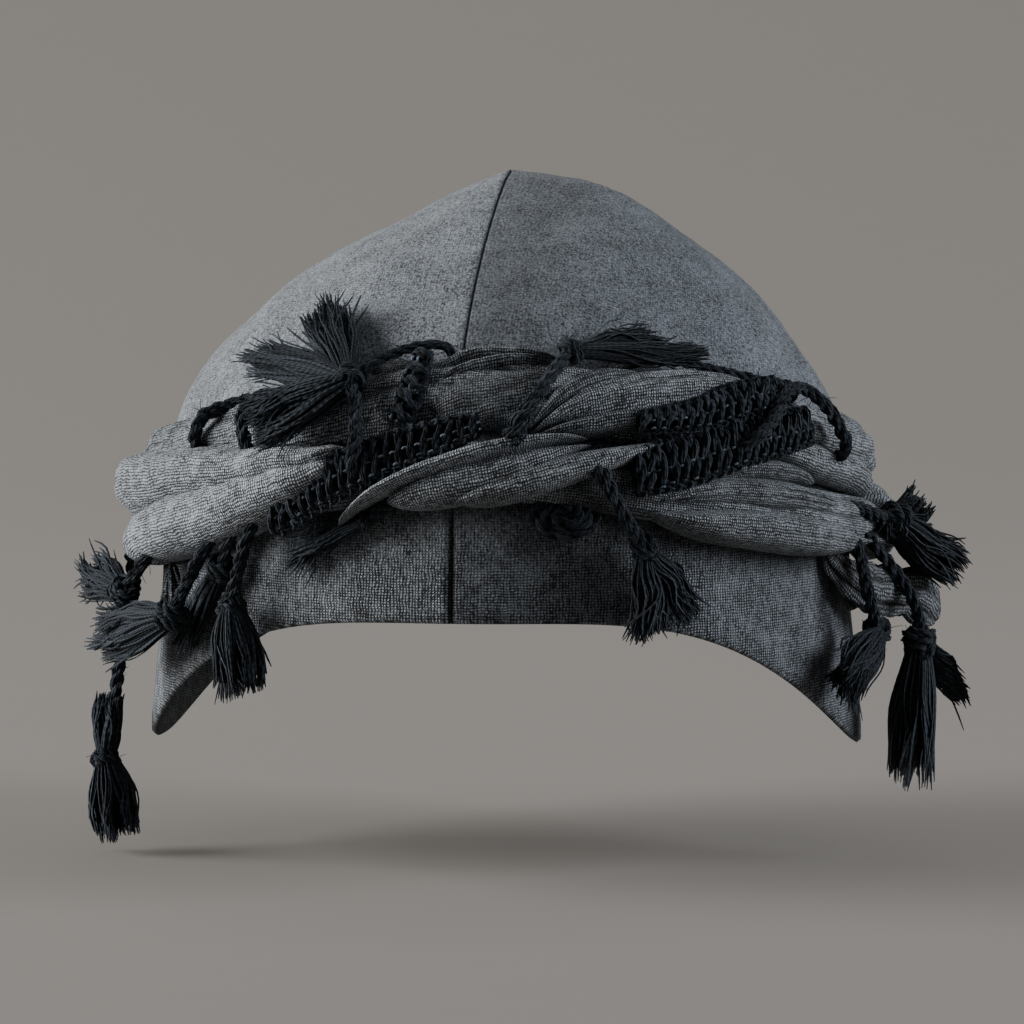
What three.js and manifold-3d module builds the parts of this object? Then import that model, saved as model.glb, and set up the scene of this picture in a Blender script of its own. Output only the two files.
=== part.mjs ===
// A head wrap: a knitted cap of two panels with a gathered, twisted scarf wound round it above the
// brow. The scarf is edged with braided gimp and with black cords that end in tassels.
// Millimetres, +Z up, the front towards -Y and the wearer's left towards +X. The origin is the middle
// of the head opening, level with the brow edge. A place on the hat is given as an angle in degrees
// round the head (0 at the front, 90 at +X), a height, and an offset out from the cap's surface.

import * as THREE from "three";
import { LoftGeometry } from "three/addons/geometries/LoftGeometry.js";
import { mergeVertices } from "three/addons/utils/BufferGeometryUtils.js";
import Module from "manifold-3d";

// Driving dimensions
const CLOTH_WALL = 2;
const SEAM_GAP = 0.3;
const PIECE_GAP = 0.35;
const CAP_CLEARANCE = 0.55;
const CORE_SEAT = 0.9;
const FOLD_SEAT = 2.2;
const SIDE_DROP = 42;
const SIDE_ANGLE = 93;
const ARCH_TURN = 3;
const BACK_DROP = 13;
const FRONT_ARCH_POWER = 4;
const BACK_ARCH_POWER = 7;
const MEAN_RADIUS = 100;
const GIMP_PITCH = 5.2;
const GIMP_BASE = 1.8;
const GIMP_RIB = 3.2;
const GIMP_TOP_SHARE = 0.8;
const CORD_RADIUS = 1.9;
const THIN_CORD_RADIUS = 1.4;

// Mesh fineness
const PANEL_ARCS = 18;
const PANEL_RISES = 9;
const FOLD_STEP_ANGLE = 9.5;
const FEWEST_FOLD_STEPS = 4;
const CORE_STEPS = 30;
const ENVELOPE_ARCS = 40;
const ENVELOPE_TOP = 0.999;
const CORD_SIDES = 5;
const CORD_STEP = 6;
const KNOT_SIDES = 6;
const KNOT_RISES = 4;
const COIL_SIDES = 12;
const WELD = 1e-4;

// The cap's horizontal outline at each height: its reach from the seam to either side, to the front
// and to the back. The left panel slopes more plainly, and the right one is fuller at the top.
const CAP_LEVELS = [
  { height: -45, left: 97.5, right: 97.5, front: 104, back: 106 },
  { height: 0, left: 94, right: 94, front: 102, back: 103 },
  { height: 25, left: 92.5, right: 92.5, front: 100, back: 102 },
  { height: 45, left: 90, right: 90, front: 96, back: 100 },
  { height: 58, left: 84, right: 84.5, front: 87.5, back: 95 },
  { height: 74, left: 70, right: 73, front: 73, back: 83 },
  { height: 90, left: 49.5, right: 55, front: 50, back: 63 },
  { height: 103, left: 23, right: 37, front: 24, back: 40 },
  { height: 110.5, left: 8, right: 21, front: 5, back: 22 },
  { height: 113.5, left: 0, right: 0, front: -8, back: 8 },
];

// Ridges of the gathered scarf: angle, height and half height where each begins, midway and where it
// ends, and how far it stands out
const LOWER_FOLDS = [
  { angles: [-15.6, -43, -125], heights: [42.5, 30.5, 17], halves: [1, 9.5, 13], depth: 16 },
  { angles: [-16.5, -34, -86], heights: [40.5, 23, 6], halves: [0.8, 4.6, 6.5], depth: 14 },
  { angles: [-41, -62, -115], heights: [39, 33, 26], halves: [1, 4.4, 8], depth: 14 },
  { angles: [-15.4, -1.5, 21.5], heights: [25.6, 38.9, 45], halves: [1.6, 2.3, 1], depth: 14.2 },
  { angles: [-10, 4.5, 22], heights: [29.5, 36, 43.6], halves: [5, 5, 0.6], depth: 12.6 },
  { angles: [0.5, 15, 37.5], heights: [29.5, 35.2, 43.7], halves: [1, 5.2, 1], depth: 13.8 },
  { angles: [35, 48, 66], heights: [32.5, 36, 31], halves: [0.8, 3, 2.4], depth: 10.5 },
  { angles: [29, 46, 76], heights: [28.7, 30.6, 22], halves: [0.8, 4.4, 4], depth: 12 },
  { angles: [29.5, 48, 84], heights: [26.7, 20.6, 13], halves: [0.8, 6.4, 5.5], depth: 12.5 },
];
const UPPER_FOLDS = [
  { angles: [-21, -12.5, -4.5], heights: [51.5, 53.5, 54], halves: [7, 10, 9.5], depth: 6.5 },
  { angles: [-3.8, 3.5, 19], heights: [57.5, 64.3, 62.6], halves: [0.8, 1.6, 1], depth: 8 },
  { angles: [-3.6, 4, 19], heights: [55, 61, 62], halves: [0.8, 1.6, 0.8], depth: 9 },
  { angles: [-5, 6.5, 19], heights: [51, 54.2, 56.5], halves: [4, 6, 4], depth: 9.5 },
  { angles: [12, 20, 32], heights: [47, 55.4, 59.3], halves: [0.8, 2.8, 1.4], depth: 9 },
  { angles: [12.5, 32.5, 60], heights: [46.8, 54, 51.6], halves: [0.8, 5.8, 1.4], depth: 11 },
  { angles: [13.5, 26.5, 44], heights: [46.3, 48.4, 50], halves: [0.8, 2.6, 1.4], depth: 10 },
  { angles: [50, 67, 98], heights: [41.5, 37, 24], halves: [1.6, 4.6, 5], depth: 10 },
  { angles: [56, 77, 112], heights: [46.5, 41, 33], halves: [1.8, 5, 5], depth: 9.5 },
  { angles: [-98, -58, -20], heights: [30, 40.5, 45.5], halves: [5, 5.5, 2.4], depth: 7.5 },
];

// The plain roll that each strand keeps under its folds: its height every 45 degrees round the head
const LOWER_CORE = { heights: [38, 28.5, 18, 15.5, 15.5, 16, 17, 26], half: 7, depth: 8.5 };
const UPPER_CORE = { heights: [56, 48.5, 38, 35, 34, 32, 30.5, 43], half: 8, depth: 6.5 };

// The folds that go on round the sides and the back, one after another, beside their core's height
const BACK_FOLD_PITCH = 41;
const BACK_FOLD_SPAN = 54;
const BACK_RISE = [-6, 0, 6];
const LOWER_BACK = { first: 78, count: 4, halves: [2, 10, 2], depth: 15 };
const UPPER_BACK = { first: 88, count: 4, halves: [2, 9.5, 2], depth: 10 };

// Braided gimp: angle, height and width at stations along each strip, and its seat above the cap
const GIMPS = [
  {
    name: "gimp_left",
    angles: [-27, -20, -14.2, -6.8, 0.3, 4.6],
    heights: [22.8, 32, 37, 41.5, 44.8, 46.6],
    widths: [7, 10.5, 9.5, 7.5, 5.5, 3.5],
    seat: 8.8,
  },
  {
    name: "gimp_right_lower",
    angles: [26.8, 34.6, 45.4, 61],
    heights: [35.6, 38.6, 42, 44.8],
    widths: [9, 11, 9.5, 7],
    seat: 8.8,
  },
  {
    name: "gimp_right_upper",
    angles: [28, 37.4, 45.3, 55],
    heights: [46.6, 47.6, 50, 51.8],
    widths: [3.6, 5.4, 6.4, 5.4],
    seat: 9.4,
  },
  {
    name: "gimp_collar",
    angles: [-5.6, -6.2, -6.8, -7.8],
    heights: [64, 58, 52, 47],
    widths: [4.4, 6, 6.4, 5],
    seat: 6.6,
  },
];

// Cords that lie on the scarf: name, radius and the points of the route as [angle, height, offset]
const LYING_CORDS = [
  {
    name: "cord_collar",
    radius: THIN_CORD_RADIUS,
    route: [[-15, 57.5, 9.5], [-12.5, 61.5, 8.5], [-7.7, 65.6, 6], [-3.4, 66.5, 5]],
  },
  {
    name: "cord_top_edge",
    radius: THIN_CORD_RADIUS,
    route: [[32, 62.4, 5], [40, 62.2, 4.6], [48.5, 59.2, 5], [54, 56, 7], [59, 52.5, 10.5]],
  },
  {
    name: "cord_loop_right",
    radius: CORD_RADIUS,
    route: [
      [46, 42.5, 15],
      [50, 46, 15],
      [54.5, 50.5, 14],
      [60, 51.5, 12.5],
      [64.5, 47.5, 13],
      [67.5, 40, 13.5],
    ],
  },
  {
    name: "cord_left_outer",
    radius: CORD_RADIUS,
    route: [[-45.5, 43.5, 11], [-44, 47, 9.5], [-39.6, 52, 4.5], [-35.5, 53.5, 3.5]],
  },
  {
    name: "cord_left_inner",
    radius: CORD_RADIUS,
    route: [[-36.5, 53.5, 4], [-35.6, 48, 9.6], [-33.5, 43, 11.5], [-33, 40.5, 15]],
  },
];

// Tassels: the cord's route, the knot's radius and, for each brush, its tip, half its width, how flat
// it lies and its number of locks
const TASSELS = [
  {
    name: "tassel_left_upper",
    stem: [[-13.5, 37.5, 13], [-13.1, 43.1, 14], [-14.1, 49.6, 14.5], [-16.2, 53.5, 14.5]],
    knot: 4.2,
    brushes: [
      { tip: [-31.5, 74.5, 10], spread: 6.5, flat: 0.5, locks: 5 },
      { tip: [-38, 60, 13], spread: 6, flat: 0.5, locks: 4 },
      { tip: [-29.6, 44.5, 17], spread: 8, flat: 0.5, locks: 5 },
    ],
  },
  {
    name: "tassel_middle_upper",
    stem: [[10.2, 45.6, 14.5], [12.7, 50.5, 12.8], [15.4, 56, 12], [18.9, 62.8, 9.5]],
    knot: 3.6,
    brushes: [
      { tip: [39.8, 67.8, 6], spread: 2.8, flat: 0.8, locks: 4 },
      { tip: [44, 61.8, 9], spread: 2.2, flat: 0.8, locks: 3 },
    ],
  },
  {
    name: "tassel_right_outer",
    stem: [[77, 23, 9], [86, 18, 14]],
    knot: 5.5,
    brushes: [
      { tip: [91, 3, 29], spread: 8, flat: 0.8, locks: 6 },
      { tip: [95, 20, 20], spread: 6, flat: 0.9, locks: 5 },
    ],
  },
  {
    name: "tassel_right_inner",
    stem: [[74.2, 14, 9], [73.6, 2, 12], [76.5, -10, 12]],
    knot: 4,
    brushes: [{ tip: [66, -23, 10], spread: 8, flat: 0.6, locks: 6 }],
  },
  {
    name: "tassel_right_hanging",
    stem: [[82, 14, 9], [85, -3, 18.5], [86, -15, 19]],
    knot: 4.6,
    brushes: [
      { tip: [86, -51, 14], spread: 7.5, flat: 1, locks: 7 },
      { tip: [94, -31, 29], spread: 3.4, flat: 1, locks: 4 },
    ],
  },
  {
    name: "tassel_left_outer",
    stem: [[-57, 14, 9], [-62, 1, 14]],
    knot: 4.5,
    brushes: [{ tip: [-79, 3, 24], spread: 6.5, flat: 0.8, locks: 5 }],
  },
  {
    name: "tassel_left_wide",
    stem: [[-40, 18, 9], [-43, 6, 12.5], [-46, -3, 13]],
    knot: 4.6,
    brushes: [{ tip: [-70, -13, 21], spread: 8.5, flat: 0.5, locks: 6 }],
  },
  {
    name: "tassel_left_inner",
    stem: [[-36, 20, 8], [-39.5, 10, 6]],
    knot: 3.8,
    brushes: [{ tip: [-50, -9, 4.2], spread: 6, flat: 0.4, locks: 4 }],
  },
  {
    name: "tassel_left_hanging",
    stem: [[-72, 14, 9], [-76, -3, 8], [-78, -20, 10], [-78, -34, 12]],
    knot: 5.5,
    brushes: [{ tip: [-76, -68, 9], spread: 8.5, flat: 0.9, locks: 7 }],
  },
  {
    name: "tassel_front_left",
    stem: [[-31.5, 22, 9], [-33.7, 9.8, 9.5], [-35.4, 1.5, 8]],
    knot: 4,
    brushes: [{ tip: [-32.4, -20, 9], spread: 9, flat: 0.6, locks: 7 }],
  },
  {
    name: "tassel_front_small",
    stem: [[-8.5, 30.5, 4.5], [-13.5, 24.5, 4.2]],
    knot: 2.6,
    brushes: [{ tip: [-26.1, 16.2, 3.4], spread: 3.2, flat: 0.6, locks: 4 }],
  },
  {
    name: "tassel_front_right",
    stem: [[21.8, 36.1, 12.4], [24.1, 28.6, 13], [27.8, 20.7, 9], [29.3, 17.5, 7]],
    knot: 3.8,
    brushes: [{ tip: [32.6, -5, 6.5], spread: 9, flat: 0.5, locks: 7 }],
  },
];

// The tight coil of cord under the middle fold
const COIL = {
  place: [18, 30, 1],
  outerRadius: 11,
  innerRadius: 1.5,
  rings: 3,
  thickness: 4.5,
  groove: 2.7,
  edge: 2.2,
  squash: 0.7,
};

// The free ends of the scarf that show below the twist
const SCARF_ENDS = [
  {
    name: "scarf_end_right",
    radius: 5,
    route: [[73, 0.5, 6], [82, -2.5, 9.5], [91, -4, 19], [95, -12, 22]],
  },
  {
    name: "scarf_end_left",
    radius: 2.2,
    route: [[-57, 10, 4], [-57.5, 0, 2.7], [-58, -8, 2.7]],
  },
];

// Along a brush: the share of its width and how deep its locks part
const BRUSH_STATIONS = [
  { along: 0.02, width: 0, pleat: 0.05, ragged: 0 },
  { along: 0.35, width: 0.55, pleat: 0.12, ragged: 0 },
  { along: 0.75, width: 0.95, pleat: 0.25, ragged: 0 },
  { along: 1, width: 0.9, pleat: 0.4, ragged: 0.8 },
];
const BRUSH_NECK = 0.6;

const wasm = await Module();
wasm.setup();

const degrees = THREE.MathUtils.degToRad;
const lerp = THREE.MathUtils.lerp;

// The cap's surface
const capSides = new THREE.CatmullRomCurve3(
  CAP_LEVELS.map(({ left, right, height }) => new THREE.Vector3(left, right, height)),
  false,
  "catmullrom",
);
const capEnds = new THREE.CatmullRomCurve3(
  CAP_LEVELS.map(({ front, back, height }) => new THREE.Vector3(front, back, height)),
  false,
  "catmullrom",
);

// The share of the way up the table of levels, 0 to 1, at which the cap reaches a height
function levelAt(height) {
  let low = 0;
  let high = 1;
  while (high - low > 1e-6) {
    const middle = (low + high) / 2;
    if (capSides.getPoint(middle).z < height) low = middle;
    else high = middle;
  }
  return low;
}

function capPoint(angle, level) {
  const { x: left, y: right, z: height } = capSides.getPoint(level);
  const { x: front, y: back } = capEnds.getPoint(level);
  const sideways = Math.sin(degrees(angle));
  return new THREE.Vector3(
    sideways * (sideways < 0 ? left : right),
    (back - front) / 2 - ((back + front) / 2) * Math.cos(degrees(angle)),
    height,
  );
}

function capNormal(angle, level) {
  const step = 1e-3;
  if (level > 1 - step) return new THREE.Vector3(0, 0, 1);
  const round = capPoint(angle + 1, level).sub(capPoint(angle - 1, level));
  const up = capPoint(angle, level + step).sub(capPoint(angle, Math.max(0, level - step)));
  return round.cross(up).normalize();
}

function onHat(angle, height, offset) {
  const lowest = CAP_LEVELS[0].height;
  const level = levelAt(Math.max(height, lowest));
  const point = capPoint(angle, level).addScaledVector(capNormal(angle, level), offset);
  point.z += Math.min(0, height - lowest);
  return point;
}

const placesOnHat = (route) => route.map(([angle, height, offset]) => onHat(angle, height, offset));

// How far the rim hangs below the brow edge: it arches over the face and dips over the ears
function rimDrop(angle) {
  const turned = Math.abs(angle - ARCH_TURN);
  if (turned < SIDE_ANGLE) {
    return SIDE_DROP * Math.sin(degrees((turned * 90) / SIDE_ANGLE)) ** FRONT_ARCH_POWER;
  }
  const behind = ((turned - SIDE_ANGLE) * 90) / (180 - SIDE_ANGLE);
  return BACK_DROP + (SIDE_DROP - BACK_DROP) * Math.cos(degrees(behind)) ** BACK_ARCH_POWER;
}

// Closed solids
function solidOf(geometry) {
  const bare = new THREE.BufferGeometry().setAttribute("position", geometry.getAttribute("position"));
  bare.setIndex(geometry.index);
  const welded = mergeVertices(bare, WELD);
  const kept = [];
  for (let i = 0; i < welded.index.count; i += 3) {
    const corners = [0, 1, 2].map((k) => welded.index.getX(i + k));
    if (new Set(corners).size === 3) kept.push(...corners);
  }
  const vertProperties = welded.getAttribute("position").array;
  const solid = new wasm.Manifold(
    new wasm.Mesh({ numProp: 3, vertProperties, triVerts: new Uint32Array(kept) }),
  );
  if (solid.volume() > 0) return solid;
  for (let i = 0; i < kept.length; i += 3) [kept[i], kept[i + 1]] = [kept[i + 1], kept[i]];
  return new wasm.Manifold(
    new wasm.Mesh({ numProp: 3, vertProperties, triVerts: new Uint32Array(kept) }),
  );
}

const join = (solids) => solids.reduce((whole, solid) => whole.add(solid));

// What is left of a solid beside the others, without the crumbs that a cut can leave
function cutBy(solid, others) {
  const rest = others.reduce((left, other) => left.subtract(other), solid);
  return rest.decompose().sort((a, b) => b.volume() - a.volume())[0];
}

function geometryOf(solid) {
  const mesh = solid.getMesh();
  const positions = new Float32Array(mesh.numVert * 3);
  for (let i = 0; i < mesh.numVert; i += 1) {
    positions.set(mesh.vertProperties.subarray(i * mesh.numProp, i * mesh.numProp + 3), i * 3);
  }
  const geometry = new THREE.BufferGeometry();
  geometry.setAttribute("position", new THREE.BufferAttribute(positions, 3));
  geometry.setIndex(new THREE.BufferAttribute(mesh.triVerts, 1));
  geometry.computeVertexNormals();
  return geometry;
}

// The cap's panels
function wallSection(side, angle) {
  const rim = levelAt(-rimDrop(angle));
  const outer = [];
  const inner = [];
  for (let i = 0; i <= PANEL_RISES; i += 1) {
    const level = lerp(rim, 1, i / PANEL_RISES);
    const point = capPoint(side * angle, level);
    const skin = capNormal(side * angle, level).multiplyScalar(-CLOTH_WALL).add(point);
    if (angle === 0 || angle === 180) skin.x = 0;
    outer.push(point);
    inner.unshift(skin);
  }
  const loop = [...outer, ...inner].map((point) => point.setX(point.x + (side * SEAM_GAP) / 2));
  return side > 0 ? loop.reverse() : loop;
}

function capPanel(side) {
  const sections = [];
  for (let i = 0; i <= PANEL_ARCS; i += 1) {
    sections.push(wallSection(side, (180 * i) / PANEL_ARCS));
  }
  return solidOf(new LoftGeometry(sections, { capStart: true, capEnd: true }));
}

// The space that the cap fills, a little grown, which keeps what lies on the cap clear of it
function capEnvelope() {
  const sections = [];
  for (let i = 0; i <= PANEL_RISES; i += 1) {
    const ring = [];
    const level = Math.min(i / PANEL_RISES, ENVELOPE_TOP);
    for (let j = 0; j < ENVELOPE_ARCS; j += 1) {
      const angle = (360 * j) / ENVELOPE_ARCS;
      ring.push(capPoint(angle, level).addScaledVector(capNormal(angle, level), CAP_CLEARANCE));
    }
    sections.push(ring);
  }
  return solidOf(new LoftGeometry(sections, { capStart: true, capEnd: true }));
}

// The scarf's folds
const atThird = ([start, middle, end], t) =>
  start * (1 - t) * (1 - 2 * t) + 4 * middle * t * (1 - t) + end * t * (2 * t - 1);

// A fold's section: round towards the outside, flat where it lies on the cap
const FOLD_FULLNESS = 0.75;
const FOLD_SECTION = [0, 42, 90, 138, 180].map((turn) => ({
  across: Math.cos(degrees(turn)),
  out: Math.sin(degrees(turn)) ** FOLD_FULLNESS,
}));
const CORE_SECTION = [...FOLD_SECTION, { across: 0, out: 0 }];
const FOLD_TIP = 0.01;

function foldSolid(fold, grow) {
  const sections = [];
  const span = Math.abs(fold.angles[2] - fold.angles[0]);
  const steps = Math.max(FEWEST_FOLD_STEPS, Math.ceil(span / FOLD_STEP_ANGLE));
  for (let i = 0; i <= steps; i += 1) {
    const t = lerp(FOLD_TIP, 1 - FOLD_TIP, (1 - Math.cos((Math.PI * i) / steps)) / 2);
    const round = Math.sqrt(1 - Math.abs(2 * t - 1) ** 4);
    const half = atThird(fold.halves, t) * round + grow;
    const depth = (fold.depth - FOLD_SEAT) * round + 2 * grow;
    const turned = atThird(fold.angles, t + FOLD_TIP) - atThird(fold.angles, t - FOLD_TIP);
    const run = degrees(turned) * MEAN_RADIUS;
    const climb = atThird(fold.heights, t + FOLD_TIP) - atThird(fold.heights, t - FOLD_TIP);
    const length = Math.hypot(run, climb);
    const tiltAngle = THREE.MathUtils.radToDeg(-climb / length / MEAN_RADIUS);
    sections.push(
      FOLD_SECTION.map(({ across, out }) =>
        onHat(
          atThird(fold.angles, t) + across * half * tiltAngle,
          atThird(fold.heights, t) + (across * half * run) / length,
          FOLD_SEAT - grow + depth * out,
        ),
      ),
    );
  }
  return solidOf(new LoftGeometry(sections, { capStart: true, capEnd: true }));
}

function coreHeight(core, angle) {
  const rows = core.heights.map((height) => new THREE.Vector3(0, 0, height));
  const turns = (angle / 360) % 1;
  return new THREE.CatmullRomCurve3(rows, true, "catmullrom").getPoint(turns).z;
}

function coreSolid(core, grow) {
  const sections = [];
  for (let i = 0; i <= CORE_STEPS; i += 1) {
    const angle = (360 * i) / CORE_STEPS;
    const height = coreHeight(core, angle);
    sections.push(
      CORE_SECTION.map(({ across, out }) =>
        onHat(
          angle % 360,
          height + across * (core.half + grow),
          CORE_SEAT - grow + (core.depth + 2 * grow) * out,
        ),
      ),
    );
  }
  return solidOf(new LoftGeometry(sections));
}

function backFolds(core, back) {
  return Array.from({ length: back.count }, (_, i) => {
    const start = back.first + i * BACK_FOLD_PITCH;
    const angles = [start, start + BACK_FOLD_SPAN / 2, start + BACK_FOLD_SPAN];
    const heights = angles.map((angle, k) => coreHeight(core, angle) + BACK_RISE[k]);
    return { angles, heights, halves: back.halves, depth: back.depth };
  });
}

function strand(core, folds, back, grow) {
  const ridges = [...folds, ...backFolds(core, back)].map((fold) => foldSolid(fold, grow));
  return join([coreSolid(core, grow), ...ridges]);
}

// Gimp: a flat braid whose bars stand up as ribs
function gimpSolid({ angles, heights, widths, seat }, grow) {
  const stations = angles.map((angle, i) => new THREE.Vector3(angle, heights[i], widths[i]));
  const spine = new THREE.CatmullRomCurve3(stations, false, "catmullrom");
  const run = placesOnHat(angles.map((angle, i) => [angle, heights[i], seat]));
  const length = new THREE.CatmullRomCurve3(run).getLength();
  const steps = 2 * Math.round(length / GIMP_PITCH);
  const sections = [];
  for (let i = 0; i <= steps; i += 1) {
    const here = spine.getPoint(i / steps);
    const ahead = spine.getTangent(i / steps);
    const runMm = degrees(ahead.x) * MEAN_RADIUS;
    const scale = Math.hypot(runMm, ahead.y);
    const half = here.z / 2 + grow;
    const rib = (i % 2 === 0 ? GIMP_BASE : GIMP_RIB) + 2 * grow;
    const corner = (across, out) =>
      onHat(
        here.x - THREE.MathUtils.radToDeg((across * half * ahead.y) / scale / MEAN_RADIUS),
        here.y + (across * half * runMm) / scale,
        seat - grow + out * rib,
      );
    const top = GIMP_TOP_SHARE;
    sections.push([corner(1, 0), corner(top, 1), corner(-top, 1), corner(-1, 0)]);
  }
  return solidOf(new LoftGeometry(sections, { capStart: true, capEnd: true }));
}

// Cords, tassels and the coil
function polygon(sides, radius) {
  const corners = Array.from({ length: sides }, (_, i) => {
    const turn = (2 * Math.PI * i) / sides;
    return new THREE.Vector2(radius * Math.cos(turn), radius * Math.sin(turn));
  });
  return new THREE.Shape(corners);
}

function cordSolid(route, radius, grow) {
  const path = new THREE.CatmullRomCurve3(placesOnHat(route));
  const steps = Math.max(2, Math.round(path.getLength() / CORD_STEP));
  const options = { steps, bevelEnabled: false, extrudePath: path };
  return solidOf(new THREE.ExtrudeGeometry(polygon(CORD_SIDES, radius + grow), options));
}

// A brush of yarn: its section is a flattened star whose points are the locks
function brushSolid(knotPlace, knotRadius, { tip, spread, flat, locks }, grow) {
  const end = onHat(...tip);
  const outward = onHat(tip[0], tip[1], tip[2] + 1).sub(end);
  const axis = end.clone().sub(knotPlace).normalize();
  const side = axis.clone().cross(outward).normalize();
  const lift = axis.clone().cross(side);
  const sections = BRUSH_STATIONS.map(({ along, width, pleat, ragged }) => {
    const radius = lerp(knotRadius * BRUSH_NECK, spread, width) + grow;
    return Array.from({ length: 2 * locks }, (_, i) => {
      const turn = (Math.PI * i) / locks;
      const reach = radius * (i % 2 === 0 ? 1 : 1 - pleat);
      return knotPlace
        .clone()
        .lerp(end, along)
        .addScaledVector(side, reach * Math.cos(turn))
        .addScaledVector(lift, reach * Math.sin(turn) * lerp(1, flat, width))
        .addScaledVector(axis, ragged * (i % 2 === 0 ? -1 : 1) + grow * along);
    });
  });
  return solidOf(new LoftGeometry(sections, { capStart: true, capEnd: true }));
}

function tasselSolid({ stem, knot, brushes }, grow) {
  const knotPlace = onHat(...stem[stem.length - 1]);
  const head = new THREE.SphereGeometry(knot + grow, KNOT_SIDES, KNOT_RISES);
  head.translate(...knotPlace.toArray());
  return join([
    solidOf(head),
    cordSolid(stem, CORD_RADIUS, grow),
    ...brushes.map((brush) => brushSolid(knotPlace, knot, brush, grow)),
  ]);
}

function coilSolid(grow) {
  const { place, innerRadius, rings, groove, edge, squash } = COIL;
  const outerRadius = COIL.outerRadius + grow;
  const thickness = COIL.thickness + grow;
  const profile = [new THREE.Vector2(innerRadius, 0)];
  const pitch = (outerRadius - innerRadius) / rings;
  for (let i = 0; i < rings; i += 1) {
    const start = innerRadius + i * pitch;
    profile.push(new THREE.Vector2(start, groove + grow));
    profile.push(new THREE.Vector2(start + pitch / 2, thickness));
  }
  profile.push(new THREE.Vector2(outerRadius, edge + grow), new THREE.Vector2(outerRadius, 0));
  profile.push(profile[0].clone());
  const geometry = new THREE.LatheGeometry(profile, COIL_SIDES).scale(1, 1, squash);
  const centre = onHat(...place);
  const outward = onHat(place[0], place[1], place[2] + 1).sub(centre);
  const turn = new THREE.Quaternion().setFromUnitVectors(new THREE.Vector3(0, 1, 0), outward);
  geometry.applyQuaternion(turn).translate(...centre.toArray());
  return solidOf(geometry);
}

// Materials
const clothLight = new THREE.MeshStandardMaterial({ color: 0x5d6064, roughness: 0.95, metalness: 0 });
const clothDark = new THREE.MeshStandardMaterial({ color: 0x494c51, roughness: 0.95, metalness: 0 });
const scarfCloth = new THREE.MeshStandardMaterial({ color: 0x54575b, roughness: 0.95, metalness: 0 });
const blackYarn = new THREE.MeshStandardMaterial({ color: 0x141519, roughness: 0.85, metalness: 0 });

const turban = new THREE.Group();

function addPiece(name, solid, material) {
  const mesh = new THREE.Mesh(geometryOf(solid), material);
  mesh.name = name;
  turban.add(mesh);
}

addPiece("cap_panel_left", capPanel(-1), clothLight);
addPiece("cap_panel_right", capPanel(1), clothDark);

// Each later piece is cut clear of the pieces that are already there
const taken = [];
function addOver(name, build, material) {
  addPiece(name, cutBy(build(0), taken), material);
  taken.push(build(PIECE_GAP));
}

addOver("scarf_strand_lower", (grow) => strand(LOWER_CORE, LOWER_FOLDS, LOWER_BACK, grow), scarfCloth);
addOver("scarf_strand_upper", (grow) => strand(UPPER_CORE, UPPER_FOLDS, UPPER_BACK, grow), scarfCloth);
taken.push(capEnvelope());
for (const gimp of GIMPS) {
  addOver(gimp.name, (grow) => gimpSolid(gimp, grow), blackYarn);
}
for (const { name, route, radius } of SCARF_ENDS) {
  addOver(name, (grow) => cordSolid(route, radius, grow), scarfCloth);
}
for (const { name, route, radius } of LYING_CORDS) {
  addOver(name, (grow) => cordSolid(route, radius, grow), blackYarn);
}
addOver("cord_coil", coilSolid, blackYarn);
for (const tassel of TASSELS) {
  addOver(tassel.name, (grow) => tasselSolid(tassel, grow), blackYarn);
}

export default turban;
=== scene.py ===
"""A head wrap: a knitted cap of two panels with a gathered scarf twisted round it above the brow,
trimmed with braided gimp, cords and tassels of black yarn.

A place on the hat is an angle in degrees round the head (0 in front, 90 towards +X), a height and an
offset out from the cap's surface, both in millimetres. Meshes are made in millimetres and stored in
metres. Each mesh has an attribute "cloth": across the stitches, along them, and a share of shade.
On yarn it is the turn round the strand, the length along it, and how light the strand is.
"""

import math

import bmesh
import bpy
import numpy as np
from bpy.props import FloatProperty, FloatVectorProperty, IntProperty, PointerProperty
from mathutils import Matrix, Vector


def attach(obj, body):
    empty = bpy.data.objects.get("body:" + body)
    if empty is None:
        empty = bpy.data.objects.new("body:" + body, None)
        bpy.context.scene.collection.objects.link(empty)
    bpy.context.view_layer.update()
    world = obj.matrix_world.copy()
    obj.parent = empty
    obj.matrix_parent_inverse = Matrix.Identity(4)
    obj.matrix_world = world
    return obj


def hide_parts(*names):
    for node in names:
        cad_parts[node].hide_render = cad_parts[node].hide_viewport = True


bl_info = {
    "name": "Twisted Head Wrap",
    "version": (1, 0, 0),
    "blender": (4, 5, 0),
    "location": "3D View > Sidebar > Wrap",
    "description": "A knitted cap with a gathered scarf, braided gimp, cords and tassels",
    "category": "Object",
}

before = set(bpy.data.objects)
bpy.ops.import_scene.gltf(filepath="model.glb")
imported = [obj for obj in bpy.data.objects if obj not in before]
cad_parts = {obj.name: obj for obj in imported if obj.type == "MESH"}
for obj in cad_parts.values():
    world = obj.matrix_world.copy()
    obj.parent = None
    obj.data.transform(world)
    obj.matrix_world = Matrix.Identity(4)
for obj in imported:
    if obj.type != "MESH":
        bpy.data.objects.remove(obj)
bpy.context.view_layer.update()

# Millimetres in a metre, the mean radius of the head, for lengths along a turn, and the cap's wall
MM = 1000
MEAN_RADIUS = 100.0
CLOTH_WALL = 2.0

# The rim: how far it hangs below the brow edge at the flaps and behind, how far round the flaps are,
# how far the arch is turned to the right, and how steeply it falls in front and behind
SIDE_DROP = 42.0
BACK_DROP = 13.0
SIDE_ANGLE = 93.0
ARCH_TURN = 3.0
FRONT_ARCH_POWER = 4
BACK_ARCH_POWER = 7

# The cap's mesh: steps from the front seam to the back, and from the rim to the crown
CAP_ARCS = 172
CAP_RISES = 94

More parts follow.
